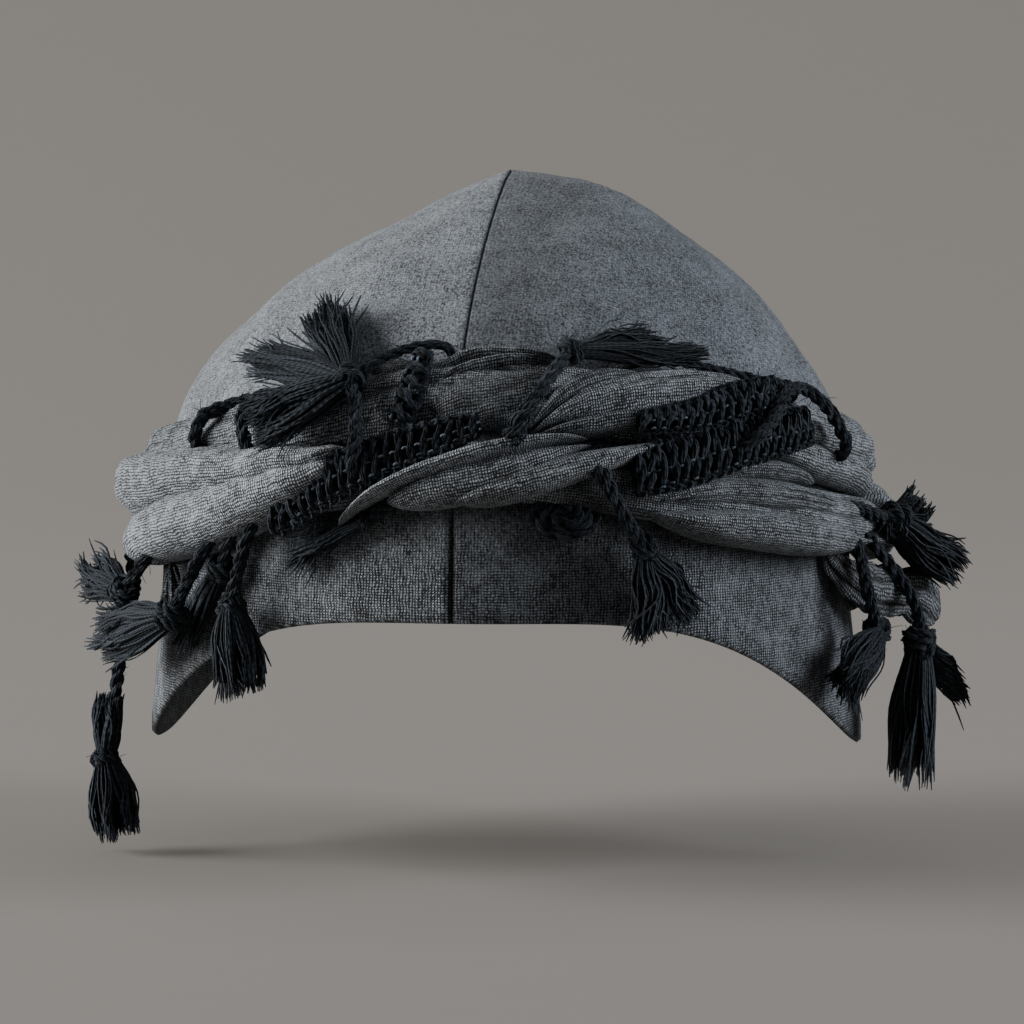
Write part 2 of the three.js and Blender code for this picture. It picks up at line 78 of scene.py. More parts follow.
# Points of a panel that are closer than this, in metres, are welded
WELD_DISTANCE = 1e-5

# The dent in the brow: its angle and half width in degrees, and its depth
BROW_DENT = (18, 9)
DENT_DEPTH = 0.8

# Darkening on the cap: the dark seam, painted shadow where the folds rest on it, and painted shade in the
# dent, beside the seam and inside
SEAM_SHADE = 0.8
CONTACT_SHADE = 0.6
DENT_SHADE = 0.45
SIDE_SHADE = 0.3
LINING_SHADE = 0.25

# The scarf's section: seats of its rolls and folds above the cap, how round they are, how steeply a
# fold narrows to its ends, and the points round a roll and a fold
CORE_SEAT = 0.9
FOLD_SEAT = 2.2
FOLD_FULLNESS = 0.75
FOLD_TAPER = 1.6
CORE_RING = 29
FOLD_RING = 63

# Shifts across the pattern, so that it doesn't repeat from one strand, fold, roll, end or face to the next
STRAND_SHIFT = 37.0
FOLD_SHIFT = 61
ROLL_SHIFT = 11
END_SHIFT = 20
FACE_SHIFT = 300

# The painted shade in the hollow of the lower roll under the middle fold: its angle and half width in
# degrees, and how dark it is
FRONT_HOLLOW = (21.5, 8.5, 0.8)

# The cap's outline at each height: height, then its reach to the left, right, front and back
CAP_LEVELS = [
    (-45, 97.5, 97.5, 104, 106),
    (0, 94, 94, 102, 103),
    (25, 92.5, 92.5, 100, 102),
    (45, 90, 90, 96, 100),
    (58, 84, 84.5, 87.5, 95),
    (74, 70, 73, 73, 83),
    (90, 49.5, 55, 50, 63),
    (103, 23, 37, 24, 40),
    (110.5, 8, 21, 5, 22),
    (113.5, 0, 0, -8, 8),
]

# Folds of the scarf: angles, heights and half widths at the start, middle and end, how far it stands
# out, its number of creases, how sharp they are, and the fold's painted shade, or painted light below 0
LOWER_FOLDS = [
    ((-15.6, -43, -125), (42.5, 34, 20), (1, 6.8, 10.5), 15.4, 3, 0.45, -0.3),
    ((-16.5, -34, -86), (40.5, 28, 7), (0.8, 8, 8.5), 15.4, 3, 0.4, -0.3),
    ((-41, -62, -115), (39, 33, 26), (1, 4.4, 8), 14, 2, 0.7, -0.2),
    ((-17.6, -1.5, 21.5), (22.8, 38.9, 45), (1.0, 2.3, 1), 14.2, 2, 1.0, 0),
    ((-10, 4.5, 22), (29.5, 36, 43.6), (5, 5, 0.6), 12.6, 2, 0.5, 0),
    ((0.5, 12.5, 37.5), (29.5, 35.4, 45.4), (1, 4.3, 0.8), 13.8, 2, 0.8, 0.1),
    ((35, 48, 66), (32.5, 36, 31), (0.8, 3, 2.4), 10.5, 2, 0.9, 0.4),
    ((29, 46, 76), (28.7, 30.6, 22), (0.8, 4.4, 4), 12, 4, 1.1, 0.3),
    ((29.5, 48, 84), (26.7, 21.8, 13), (0.8, 5.1, 5.5), 12.5, 2, 0.5, 0.2),
]
UPPER_FOLDS = [
    ((-21, -12.5, -4.5), (51.5, 53.5, 54), (7, 10, 9.5), 6.5, 3, 0.8, 0.6),
    ((-3.8, 3.5, 19), (57.5, 64.3, 62.6), (0.8, 1.6, 1), 8, 1, 1.0, 0.35),
    ((-3.6, 4, 19), (55, 61, 62), (0.8, 1.6, 0.8), 9, 1, 1.0, 0.4),
    ((-5, 6.5, 19), (51, 54.2, 56.5), (4, 6, 4), 9.5, 2, 0.55, 0.5),
    ((12, 20, 32), (47, 55.4, 59.3), (0.8, 2.8, 1.4), 9, 2, 1.2, 0.35),
    ((12.5, 32.5, 60), (46.8, 54, 51.6), (0.8, 5.8, 1.4), 11, 3, 0.9, 0.05),
    ((13.5, 26.5, 44), (46.3, 48.4, 50), (0.8, 2.6, 1.4), 10, 2, 1.0, 0.3),
    ((50, 67, 98), (41.5, 37, 24), (1.6, 4.6, 5), 10, 2, 0.8, 0),
    ((56, 77, 112), (46.5, 41, 33), (1.8, 5, 5), 9.5, 2, 0.8, 0),
    ((-98, -58, -20), (30, 40.5, 45.5), (5, 5.5, 2.4), 7.5, 4, 1.1, 0.15),
]

# The plain roll under each strand's folds: its height every 45 degrees, half width and depth
LOWER_CORE = ((38, 28.5, 18, 15.5, 15.5, 16, 17, 26), 7, 8.5)
UPPER_CORE = ((56, 48.5, 38, 35, 34, 32, 30.5, 43), 8, 6.5)

# The folds that go on round the back: the angle from one to the next, the angle that each spans, its
# rise over the roll and its creases, then the first angle, count, half widths and depth by strand
BACK_PITCH = 41
BACK_SPAN = 54
BACK_RISE = (-6, 0, 6)
BACK_CREASES = (3, 0.8, 0)
LOWER_BACK = (78, 4, (2, 10, 2), 15)
UPPER_BACK = (88, 4, (2, 9.5, 2), 10)

# The scarf's strands: roll, folds in front, folds behind and first seed
STRANDS = {
    "scarf_strand_lower": (LOWER_CORE, LOWER_FOLDS, LOWER_BACK, 3),
    "scarf_strand_upper": (UPPER_CORE, UPPER_FOLDS, UPPER_BACK, 23),
}

# Strips of gimp: angles, heights and widths along each, its seat above the cap, and the share of its
# length after which it is worn flat, which is past the end of three of them
GIMPS = {
    "gimp_left": (
        (-27, -20, -14.2, -6.8, 0.3, 4.6),
        (22.8, 32, 37, 41.5, 44.8, 46.6),
        (7, 10.5, 9.5, 7.5, 5.5, 3.5),
        8.8,
        0.5,
    ),
    "gimp_right_lower": ((26.8, 34.6, 45.4, 61), (35.6, 38.6, 42, 44.8), (9, 11, 9.5, 7), 8.8, 2),
    "gimp_right_upper": ((28, 37.4, 45.3, 55), (46.6, 47.6, 50, 51.8), (3.6, 5.4, 6.4, 5.4), 9.4, 2),
    "gimp_collar": ((-5.6, -6.2, -6.8, -7.8), (64, 58, 52, 47), (4.4, 6, 6.4, 5), 6.6, 2),
}

# Cords that lie on the scarf: radius and the points of the route
LYING_CORDS = {
    "cord_collar": (1.4, ((-15, 57.5, 9.5), (-12.5, 61.5, 8.5), (-7.7, 65.6, 6), (-3.4, 66.5, 5))),
    "cord_top_edge": (
        1.4,
        ((32, 62.4, 5), (40, 62.2, 4.6), (48.5, 59.2, 5), (54, 56, 7), (59, 52.5, 10.5)),
    ),
    "cord_loop_right": (
        1.9,
        (
            (46, 42.5, 15),
            (50, 46, 15),
            (54.5, 50.5, 14),
            (60, 51.5, 12.5),
            (64.5, 47.5, 13),
            (67.5, 40, 13.5),
        ),
    ),
    "cord_left_outer": (
        1.9,
        (
            (-46.8, 37, 5),
            (-46.2, 41, 9),
            (-45.2, 44.5, 10.5),
            (-44, 47.5, 9.5),
            (-39.6, 52, 4.5),
            (-35.5, 53.5, 3.5),
        ),
    ),
    "cord_left_inner": (
        1.9,
        ((-36.5, 53.5, 4), (-35.6, 48, 9.6), (-33.8, 44, 11), (-33.2, 41, 10), (-33, 37, 6)),
    ),
}

# Tassels: the cord's route, the knot's radius and, for each brush, its tip, half width, flatness and
# number of locks
TASSELS = {
    "tassel_left_upper": (
        ((-13.5, 37.5, 13), (-13.1, 43.1, 13.5), (-14.1, 49.6, 13), (-16.2, 53.5, 12.2)),
        4.2,
        (
            ((-33.2, 74.5, 4.8), 6.5, 0.5, 5),
            ((-38, 60, 10), 6, 0.5, 4),
            ((-29.6, 44.5, 15), 8, 0.5, 5),
        ),
    ),
    "tassel_middle_upper": (
        ((10.2, 45.6, 14.5), (12.7, 50.5, 12.8), (15.4, 56, 12), (18.9, 62.8, 9.5)),
        3.6,
        (((36.4, 67.8, 6), 2.8, 0.8, 4), ((44, 61.8, 9), 2.2, 0.8, 3)),
    ),
    "tassel_right_outer": (
        ((77, 23, 9), (86, 18, 14)),
        5.5,
        (((91, 3, 29), 8, 0.8, 6), ((95, 20, 20), 6, 0.9, 5)),
    ),
    "tassel_right_inner": (
        ((74.2, 14, 9), (73.6, 2, 12), (76.5, -10, 12)),
        4,
        (((66, -23, 10), 8, 0.6, 6),),
    ),
    "tassel_right_hanging": (
        ((82, 14, 9), (85, -3, 18.5), (86, -15, 19)),
        4.6,
        (((86, -51, 14), 7.5, 1, 7), ((94, -31, 29), 3.4, 1, 4)),
    ),
    "tassel_left_outer": (((-57, 14, 9), (-62, 1, 14)), 4.5, (((-77.5, 3, 19.5), 6.2, 0.8, 5),)),
    "tassel_left_wide": (
        ((-40, 18, 9), (-43, 6, 12.5), (-46, -3, 13)),
        4.6,
        (((-69, -13, 17), 8.2, 0.5, 6),),
    ),
    "tassel_left_inner": (((-36, 20, 8), (-39.5, 10, 6)), 3.8, (((-50, -9, 4.2), 6, 0.4, 4),)),
    "tassel_left_hanging": (
        ((-72, 14, 9), (-76, -3, 8), (-78, -20, 10), (-77.6, -47, 12)),
        4,
        (((-76, -68, 9), 8.2, 0.9, 7), ((-78.6, -31, 12), 5.2, 0.8, 5)),
    ),
    "tassel_front_left": (
        ((-31.5, 22, 9), (-33.7, 9.8, 9.5), (-35.4, 1.5, 8)),
        4,
        (((-32.4, -20, 9), 9, 0.6, 7),),
    ),
    "tassel_front_small": (
        ((-8.5, 30.5, 4.5), (-13.5, 24.5, 4.2)),
        2.6,
        (((-26.1, 16.2, 3.4), 3.2, 0.6, 4),),
    ),
    "tassel_front_right": (
        ((21.8, 36.1, 12.4), (24.1, 28.6, 13), (27.8, 20.7, 9), (29.3, 17.5, 7)),
        3.8,
        (((29.6, -4.5, 6.5), 4.6, 0.6, 4), ((37, 0, 6.5), 4.8, 0.6, 4)),
    ),
}

# How far a stem opens into loose strands where it leaves the scarf
LOOSE_STEMS = {"tassel_middle_upper": 0.9, "tassel_front_right": 0.45}

# The free ends of the scarf: radius and route
SCARF_ENDS = {
    "scarf_end_right": (
        5.3,
        ((70, 15, 2), (73.5, 8, 4), (78, 3, 6.5), (84, 0.2, 9.2), (91, -3, 17.5), (95.5, -11, 22)),
    ),
    "scarf_end_left": (2.2, ((-57, 10, 4), (-57.5, 0, 2.7), (-58, -8, 2.7))),
}

# The coil of cord: its place, the path's inner and outer radius and height, its turns, and how far it
# is squashed
COIL_PLACE = (17.4, 27.4, 2.2)
COIL_REACH = (1.5, 9.2)
COIL_RISE = 2.3
COIL_TURNS = 3
COIL_SQUASH = 0.7

# Radii of the cords in the coil and the tassels' stems, and the number and length of a cord's hairs
COIL_CORD = 1.7
STEM_CORD = 1.9
CORD_HAIRS = (14, 3.5)

# How a cord's ends are tucked in: how far they run on, as a share of the last stretch, and how deep
TUCK_SHARE = 0.45
TUCK_DEPTH = 5

# How full the strands and the ends of the scarf are
STRAND_FILL = 0.35
END_FILL = 0.3

# Contrast of the knit on the panels and the scarf, and the length up the cap from which the panels'
# face is brushed, which the scarf never reaches
PANEL_CONTRAST = 0.9
SCARF_CONTRAST = 1.1
BRUSHED_FROM = 55.0
NEVER_BRUSHED = 1e6

# Camera: where it aims in metres, its turn and rise in degrees, its distance, lens, sensor and reach
CAMERA_TARGET = (0.0016, 0, 0.020)
CAMERA_TURN = 8.0
CAMERA_RISE = 4.6
CAMERA_DISTANCE = 1.5
CAMERA_LENS = 192.5
CAMERA_SENSOR = 36
CAMERA_CLIP = 20

# Lamps: name, place, aim, size, the setting that holds its power, and colour
LAMPS = (
    ("key_light", (-2.8, -0.4, 0.8), (0, 0, 0.02), 2.4, "key_power", (1.0, 0.99, 0.97)),
    ("side_light", (2.85, 0.08, 1.0), (0, 0, 0.03), 1.8, "side_power", (0.93, 0.96, 1.0)),
    ("top_light", (0.0, 0.1, 1.5), (0, 0, 0), 1.6, "top_power", (1.0, 1.0, 1.0)),
    ("wall_light", (0.0, 1.0, 2.0), (0, 3.0, 0.3), 1.4, "wall_power", (1.0, 0.98, 0.95)),
)
ROOM_COLOUR = (0.93, 0.95, 1.0, 1)

# The backdrop in metres: how far behind the wrap it stands, the radius of its bend, its half width,
# its height, and the steps of its bend
WALL_REACH = 3.6
WALL_BEND = 2.6
WALL_HALF_WIDTH = 14.0
WALL_HEIGHT = 3.0
WALL_STEPS = 32


def catmull(rows, share, closed=False):
    """Points at shares 0 to 1 along the smooth curve through the rows."""
    rows = np.asarray(rows, float)
    spans = len(rows) if closed else len(rows) - 1
    place = np.asarray(share, float) * spans
    first = np.clip(np.floor(place).astype(int), 0, spans - 1)
    w = (place - first)[..., None]
    if closed:
        a, b, c, d = (rows[(first + k) % len(rows)] for k in (-1, 0, 1, 2))
    else:
        ends = np.vstack([2 * rows[0] - rows[1], rows, 2 * rows[-1] - rows[-2]])
        a, b, c, d = (ends[first + k] for k in (0, 1, 2, 3))
    bend = 2 * a - 5 * b + 4 * c - d
    return 0.5 * (2 * b + (c - a) * w + bend * w**2 + (3 * b - a - 3 * c + d) * w**3)


def unit(vectors):
    """The vectors made one long."""
    return vectors / np.maximum(np.linalg.norm(vectors, axis=-1, keepdims=True), 1e-9)


def smooth(value, low, high):
    """A share that eases from 0 at the low value to 1 at the high one."""
    t = np.clip((value - low) / (high - low), 0, 1)
    return t * t * (3 - 2 * t)


def bell(value, middle, width):
    """A share of 1 at the middle value, which falls away on both sides."""
    return np.exp(-(((value - middle) / width) ** 2))


def stacked(*values):
    """Arrays side by side as the last axis of one array."""
    return np.stack(np.broadcast_arrays(*values), -1)


def running_total(steps):
    """Sums along each row of steps, from 0."""
    return np.concatenate([np.zeros_like(steps[..., :1]), np.cumsum(steps, -1)], -1)


def lengths_along(points):
    """Lengths from the start of each row of points, for an (..., n, 3) array."""
    return running_total(np.linalg.norm(np.diff(points, axis=-2), axis=-1))


LEVEL_SHARES = np.linspace(0, 1, 4001)
LEVEL_TABLE = catmull(CAP_LEVELS, LEVEL_SHARES)
LEVEL_RADII = LEVEL_TABLE[:, 1:].mean(1)
RISE_LENGTHS = running_total(np.hypot(np.diff(LEVEL_RADII), np.diff(LEVEL_TABLE[:, 0])))


def level_at(height):
    """How far up the cap's outline a height is, from 0 to 1."""
    return np.interp(height, LEVEL_TABLE[:, 0], LEVEL_SHARES)


def cap_point(angle, level):
    """Points on the bare cap, for arrays of angles and levels."""
    height, left, right, front, back = np.moveaxis(catmull(CAP_LEVELS, level), -1, 0)
    turn = np.radians(angle)
    side = np.sin(turn)
    x = side * np.where(side < 0, left, right)
    y = (back - front) / 2 - (back + front) / 2 * np.cos(turn)
    return stacked(x, y, height)


def cap_normal(angle, level):
    """Directions straight out from the bare cap."""
    step = 1e-3
    round_ = cap_point(angle + 1, level) - cap_point(angle - 1, level)
    up = cap_point(angle, np.minimum(level + step, 1)) - cap_point(angle, np.maximum(level - step, 0))
    return unit(np.cross(round_, up))


def on_hat(angle, height, offset):
    """Points at an offset out from the cap's surface."""
    angle, height, offset = np.broadcast_arrays(*(np.asarray(v, float) for v in (angle, height, offset)))
    lowest = CAP_LEVELS[0][0]
    level = level_at(np.maximum(height, lowest))
    points = cap_point(angle, level) + cap_normal(angle, level) * offset[..., None]
    points[..., 2] += np.minimum(0, height - lowest)
    return points


def places_on_hat(route):
    """Points of a route whose rows are angle, height and offset."""
    return on_hat(*np.asarray(route, float).T)


def rim_drop(angle):
    """How far the rim hangs below the brow edge."""
    turned = np.abs(angle - ARCH_TURN)
    front = SIDE_DROP * np.sin(np.radians(turned * 90 / SIDE_ANGLE)) ** FRONT_ARCH_POWER
    behind = np.radians(np.clip((turned - SIDE_ANGLE) * 90 / (180 - SIDE_ANGLE), 0, 90))
    back = BACK_DROP + (SIDE_DROP - BACK_DROP) * np.cos(behind) ** BACK_ARCH_POWER
    return np.where(turned < SIDE_ANGLE, front, back)


def ripple(x, y, size, seed, layers=7):
    """Smooth noise from about -1 to 1, for arrays of places, with bumps of about the given size."""
    chance = np.random.default_rng(seed)
    total = 0
    for _ in range(layers):
        turn, phase = chance.uniform(0, 2 * math.pi, 2)
        pitch = size * chance.uniform(0.7, 1.6)
        total = total + np.sin(2 * math.pi * (x * math.cos(turn) + y * math.sin(turn)) / pitch + phase)
    return total / math.sqrt(layers)


class Patchwork:
    """Gathers grids of points into one mesh."""

    def __init__(self):
        self.points = []
        self.cloth = []
        self.faces = []
        self.count = 0

    def grid(self, points, cloth, closed=True):
        """Adds sheets of quads: points is (..., rows, columns, 3), and cloth goes with it."""
        rows, columns = points.shape[-3:-1]
        points = points.reshape(-1, rows, columns, 3)
        numbers = self.count + np.arange(points[..., 0].size).reshape(points.shape[:-1])
        corners = (numbers[:, :-1, :-1], numbers[:, :-1, 1:], numbers[:, 1:, 1:], numbers[:, 1:, :-1])
        faces = np.stack(corners, -1).reshape(len(points), -1, 4)
        flat = points.reshape(-1, 3)
        if closed:
            local = flat[faces - self.count] - points.mean((1, 2))[:, None, None]
            crossing = np.cross(local[..., 1, :] - local[..., 0, :], local[..., 2, :] - local[..., 0, :])
            inward = (crossing * local[..., 0, :]).sum((1, 2)) < 0
            faces[inward] = faces[inward][..., ::-1]
        self.points.append(flat)
        if np.ndim(cloth) < 2:
            cloth = np.broadcast_to(cloth, points.shape)
        self.cloth.append(cloth.reshape(-1, 3))
        self.faces.append(faces.reshape(-1, 4))
        self.count += len(flat)

    def piece(self, name, node, slot, material, weld=False):
        """Makes the mesh an object that rides on the model and stands for its solid."""
        mesh = bpy.data.meshes.new(name)
        points = np.concatenate(self.points) / MM
        faces = np.concatenate(self.faces)
        mesh.vertices.add(len(points))
        mesh.vertices.foreach_set("co", points.astype(np.float32).ravel())
        mesh.loops.add(faces.size)
        mesh.loops.foreach_set("vertex_index", faces.astype(np.int32).ravel())
        mesh.polygons.add(len(faces))
        mesh.polygons.foreach_set("loop_start", np.arange(0, faces.size, 4, dtype=np.int32))
        mesh.polygons.foreach_set("use_smooth", np.ones(len(faces), bool))
        cloth = mesh.attributes.new("cloth", "FLOAT_VECTOR", "POINT")
        cloth.data.foreach_set("vector", np.concatenate(self.cloth).astype(np.float32).ravel())
        mesh.update(calc_edges=True)
        if weld:
            body = bmesh.new()
            body.from_mesh(mesh)
            bmesh.ops.remove_doubles(body, verts=body.verts, dist=WELD_DISTANCE)
            body.to_mesh(mesh)
            body.free()
        mesh.materials.append(material)
        obj = bpy.data.objects.new(name, mesh)
        bpy.context.scene.collection.objects.link(obj)
        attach(obj, "root")
        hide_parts(node)
        return obj


def carried_frames(paths):
    """Two directions across each path of an (s, r, 3) array, which turn no more than the path does."""
    ahead = unit(np.gradient(paths, axis=1))
    side = np.empty_like(paths)
    guess = np.where(np.abs(ahead[:, 0, 2:3]) < 0.8, [[0.0, 0.0, 1.0]], [[1.0, 0.0, 0.0]])
    side[:, 0] = unit(np.cross(ahead[:, 0], guess))
    for k in range(1, paths.shape[1]):
        carried = side[:, k - 1]
        lean = (carried * ahead[:, k]).sum(-1, keepdims=True)
        side[:, k] = unit(carried - ahead[:, k] * lean)
    return side, np.cross(ahead, side)


def round_about(side, lift, turn):
    """Directions at angles round a path."""
    return side * np.cos(turn)[..., None] + lift * np.sin(turn)[..., None]


def yarns(work, paths, radii, sides=5, shade=0.5):
    """Adds round yarns along paths of an (s, r, 3) array, with radii that broadcast to (s, r)."""
    side, lift = carried_frames(paths)
    turn = np.linspace(0, 2 * math.pi, sides + 1)
    radii = np.broadcast_to(radii, paths.shape[:2])[..., None, None]
    ring = round_about(side[:, :, None], lift[:, :, None], turn)
    points = paths[:, :, None] + ring * radii
    along = lengths_along(paths)[..., None] + STRAND_SHIFT * np.arange(len(paths))[:, None, None]
    shades = np.broadcast_to(shade, (len(paths),))[:, None, None]
    work.grid(points, stacked(turn, along, shades))


def resample(path, step):
    """A path of points, evenly spaced at about the step, through the given ones."""
    fine = catmull(path, np.linspace(0, 1, 40 * len(path)))
    lengths = lengths_along(fine)
    count = max(4, int(lengths[-1] / step))
    even = np.linspace(0, lengths[-1], count)
    return np.stack([np.interp(even, lengths, fine[:, k]) for k in range(3)], -1), even


def twisted_cord(work, path, radius, pitch, plies=3, strands=7, step=1.1, shade=0.4, fray=0.0):
    """Adds a cord along a path: plies twisted round each other, each of finer strands twisted back."""
    centre, along = resample(path, step)
    side, lift = carried_frames(centre[None])
    chance = np.random.default_rng(len(along) * 7 + plies)
    ends = np.sqrt(np.clip(np.minimum(along, along[-1] - along) / radius, 0.01, 1))
    loose = 1 + fray * (1 - smooth(along / along[-1], 0, 0.55))
    turn = 2 * math.pi * (np.arange(plies)[:, None] / plies + along / pitch)
    ply = round_about(side, lift, turn)
    back = 2 * math.pi * (np.arange(strands)[:, None] / strands - along / (pitch * 2.2))
    finer = round_about(side, lift, back)
    each = (plies, strands, 1)
    sway = np.sin(along * chance.uniform(0.5, 1.6, each) + chance.uniform(0, 6, each))
    wide = 0.34 * loose + 0.07 * sway
    offset = ply[:, None] * (0.5 * loose)[:, None] + finer[None] * wide[..., None]
    paths = centre + offset * (radius * ends)[:, None]
    thick = radius * (0.8 / strands + 0.06) * ends * (1 + 0.2 * sway)
    lit = shade * chance.uniform(0.6, 1.5, plies * strands)
    yarns(work, paths.reshape(-1, len(along), 3), thick.reshape(-1, len(along)), sides=4, shade=lit)


def loose_hairs(work, path, radius, count, length, seed):
    """Adds single fibres that stand off a cord or knot."""
    chance = np.random.default_rng(seed)
    centre, _ = resample(path, 0.5)
    ahead = unit(np.gradient(centre, axis=0))
    at = chance.integers(0, len(centre), count)
    out = unit(np.cross(ahead[at], chance.normal(0, 1, (count, 3))))
    lean = unit(out + ahead[at] * chance.normal(0, 0.8, (count, 1)))
    bend = chance.normal(0, 0.35, (count, 3))
    s = np.linspace(0, 1, 7)[None, :, None]
    reach = length * chance.uniform(0.4, 1, (count, 1, 1))
    roots = centre[at] + out * radius * 0.6
    paths = roots[:, None] + reach * (lean[:, None] * s + bend[:, None] * s**2)
    yarns(work, paths, np.interp(s[..., 0], [0, 1], [0.13, 0.06]), sides=3)


def tucked(route, at_end=True):
    """A route on the hat whose ends run on and dive under the cloth."""
    route = np.asarray(route, float)
    first = route[:1] + (route[:1] - route[1:2]) * TUCK_SHARE
    last = route[-1:] + (route[-1:] - route[-2:-1]) * TUCK_SHARE
    first[:, 2] = route[0, 2] - TUCK_DEPTH
    last[:, 2] = route[-1, 2] - TUCK_DEPTH
    return np.vstack([first, route, last]) if at_end else np.vstack([first, route])


class Wire:
    """A socket that takes part in plain expressions, which add the nodes they need."""

    def __init__(self, recipe, socket):
        self.recipe = recipe
        self.socket = socket

    def maths(self, operation, *others, swapped=False):
        values = [self, *others]
        if swapped:
            values.reverse()
        return self.recipe.node("ShaderNodeMath", {"operation": operation}, dict(enumerate(values)))

    def __add__(self, other):
        return self.maths("ADD", other)

    __radd__ = __add__

    def __sub__(self, other):
        return self.maths("SUBTRACT", other)

    def __rsub__(self, other):
        return self.maths("SUBTRACT", other, swapped=True)

    def __mul__(self, other):
        return self.maths("MULTIPLY", other)

    __rmul__ = __mul__

    def __truediv__(self, other):
        return self.maths("DIVIDE", other)

    def __pow__(self, other):
        return self.maths("POWER", other)

    def floor(self):
        return self.maths("FLOOR")

    def size(self):
        return self.maths("ABSOLUTE")

    def sine(self):
        return self.maths("SINE")

    def clamp(self):
        return self.recipe.node("ShaderNodeClamp", {}, {0: self})


class Recipe:
    """Builds one material's nodes."""

    def __init__(self, name):
        self.material = bpy.data.materials.new(name)
        self.material.use_nodes = True
        self.tree = self.material.node_tree
        self.tree.nodes.clear()

    def node(self, kind, settings, inputs, out=0):
        """Adds a node: its settings go in first, then its sockets' values or links."""
        node = self.tree.nodes.new(kind)
        for key, value in settings.items():
            setattr(node, key, value)
        for key, value in inputs.items():
            if isinstance(value, Wire):
                self.tree.links.new(value.socket, node.inputs[key])
            else:
                node.inputs[key].default_value = value
        return Wire(self, node.outputs[out]) if node.outputs else None

    def split(self, vector):
        parts = self.node("ShaderNodeSeparateXYZ", {}, {0: vector})
        return [Wire(self, socket) for socket in parts.socket.node.outputs]

    def join(self, x, y, z=0.0):
        return self.node("ShaderNodeCombineXYZ", {}, {0: x, 1: y, 2: z})

    def mix(self, factor, first, second):
        return self.node("ShaderNodeMix", {"data_type": "RGBA"}, {0: factor, 6: first, 7: second}, out=2)

    def tint(self, colour, amount):
        """A colour made lighter or darker by a number."""
        return self.node("ShaderNodeVectorMath", {"operation": "SCALE"}, {0: colour, "Scale": amount})

    def noise(self, vector, scale, detail=2.0):
        return self.node("ShaderNodeTexNoise", {}, {"Vector": vector, "Scale": scale, "Detail": detail})

    def finish(self, colour, height, relief, **constants):
        bump = self.node("ShaderNodeBump", {}, {"Strength": 1.0, "Distance": relief, "Height": height})
        inputs = {"Base Color": colour, "Normal": bump}
        inputs.update({key.replace("_", " "): value for key, value in constants.items()})
        surface = self.node("ShaderNodeBsdfPrincipled", {}, inputs)
        self.node("ShaderNodeOutputMaterial", {}, {"Surface": surface})
        return self.material


def jersey(name, grey, contrast, calm_above, cloth):
    """Fine jersey of light and dark fibres: a grid of stitches, with a brushed, flecked face higher up."""
    r = Recipe(name)
    place = r.node("ShaderNodeAttribute", {"attribute_name": "cloth"}, {}, out="Vector")
    x, y, shade = r.split(place)
    sway = r.noise(r.join(x * 0.3, y * 0.3), 1.0, 2.0)
    column = x / (cloth.stitch_width * MM) + sway * 1.6
    row = y / (cloth.stitch_height * MM) + sway * 1.3
    cell = r.join(column.floor(), row.floor())
    each = r.node("ShaderNodeTexWhiteNoise", {"noise_dimensions": "2D"}, {"Vector": cell}, out="Value")
    dot = ((column * math.pi).sine() * (row * math.pi).sine()).size() ** 1.3
    knit = dot * (each * 1.3 + 0.55)
    across, ahead, up = r.split(r.node("ShaderNodeTexCoord", {}, {}, out="Object"))
    coarse = r.noise(r.join(across * 1350, ahead * 1350, up * 850), 1.0, 1.0)
    fine = r.noise(r.join(across * 2700, ahead * 2700, up * 1900), 1.0, 1.0)
    fleck = coarse * 0.5 + fine * 0.5
    cloud = r.noise(r.join(across * 95, ahead * 95, up * 70), 1.0, 2.0)
    slub = r.noise(r.join(x * 0.45, y * 0.2), 1.0, 2.0)
    brushed = ((y - calm_above) / 25).clamp() * 0.85
    heather = knit * (0.85 - brushed * 0.7) + (fleck * 3.6 - 1.38) * (brushed * 0.55 + 0.4)
    uneven = heather + slub * (0.9 - brushed * 0.6) + cloud * 0.6 - 0.94 + brushed * 0.42
    strength = (1 - brushed * 0.2) * contrast
    level = (uneven * strength + 0.36 * (1 - strength)).clamp()
    dark = (*(c * 0.16 for c in grey), 1)
    light = (*(c * 3.0 for c in grey), 1)
    colour = r.tint(r.mix(level, dark, light), 1 - shade)
    relief = knit * (1 - brushed) + fleck * 1.2
    return r.finish(colour, relief, 0.00026, Roughness=0.95, Specular_IOR_Level=0.2, Sheen_Weight=0.06)


def black_yarn(name, yarn):
    """Matt cotton yarn: strands of nearly black blue, each lit along its twist."""
    r = Recipe(name)
    place = r.node("ShaderNodeAttribute", {"attribute_name": "cloth"}, {}, out="Vector")
    x, y, shade = r.split(place)
    ply = (x + y * 3.1).sine() * 0.5 + 0.5
    fibre = r.noise(r.join(x * 1.2, y * 0.8, shade), 3.0, 3.0)
    wear_and_painted_shade = r.noise(r.join(x * 0.1, y * 0.12, shade * 9), 1.0, 1.0)
    lit = (ply * 0.35 + fibre * 1.0 + wear_and_painted_shade * 0.6 - 0.6).clamp()
    dark = (*(c * 0.35 for c in yarn.colour), 1)
    light = (*(c * 2.3 for c in yarn.colour), 1)
    colour = r.tint(r.mix(lit, dark, light), shade * 0.9 + 0.5)
    relief = ply + fibre * 0.6
    return r.finish(colour, relief, 0.00012, Roughness=0.85, Specular_IOR_Level=0.12, Sheen_Weight=0.03)


def plain_backdrop(name, colour, glow):
    """Matt paper with a faint tooth that gives off a little light itself."""
    r = Recipe(name)
    place = r.node("ShaderNodeTexCoord", {}, {}, out="Object")
    grain = r.noise(place, 60.0, 3.0)
    tone = r.tint(tuple(colour), grain * 0.03 + 0.985)
    paper = (*colour, 1)
    return r.finish(tone, grain, 0.0001, Roughness=0.9, Emission_Color=paper, Emission_Strength=glow)


def material(name, make, *values):
    """The named material, made the first time that it is asked for."""
    return bpy.data.materials.get(name) or make(name, *values)


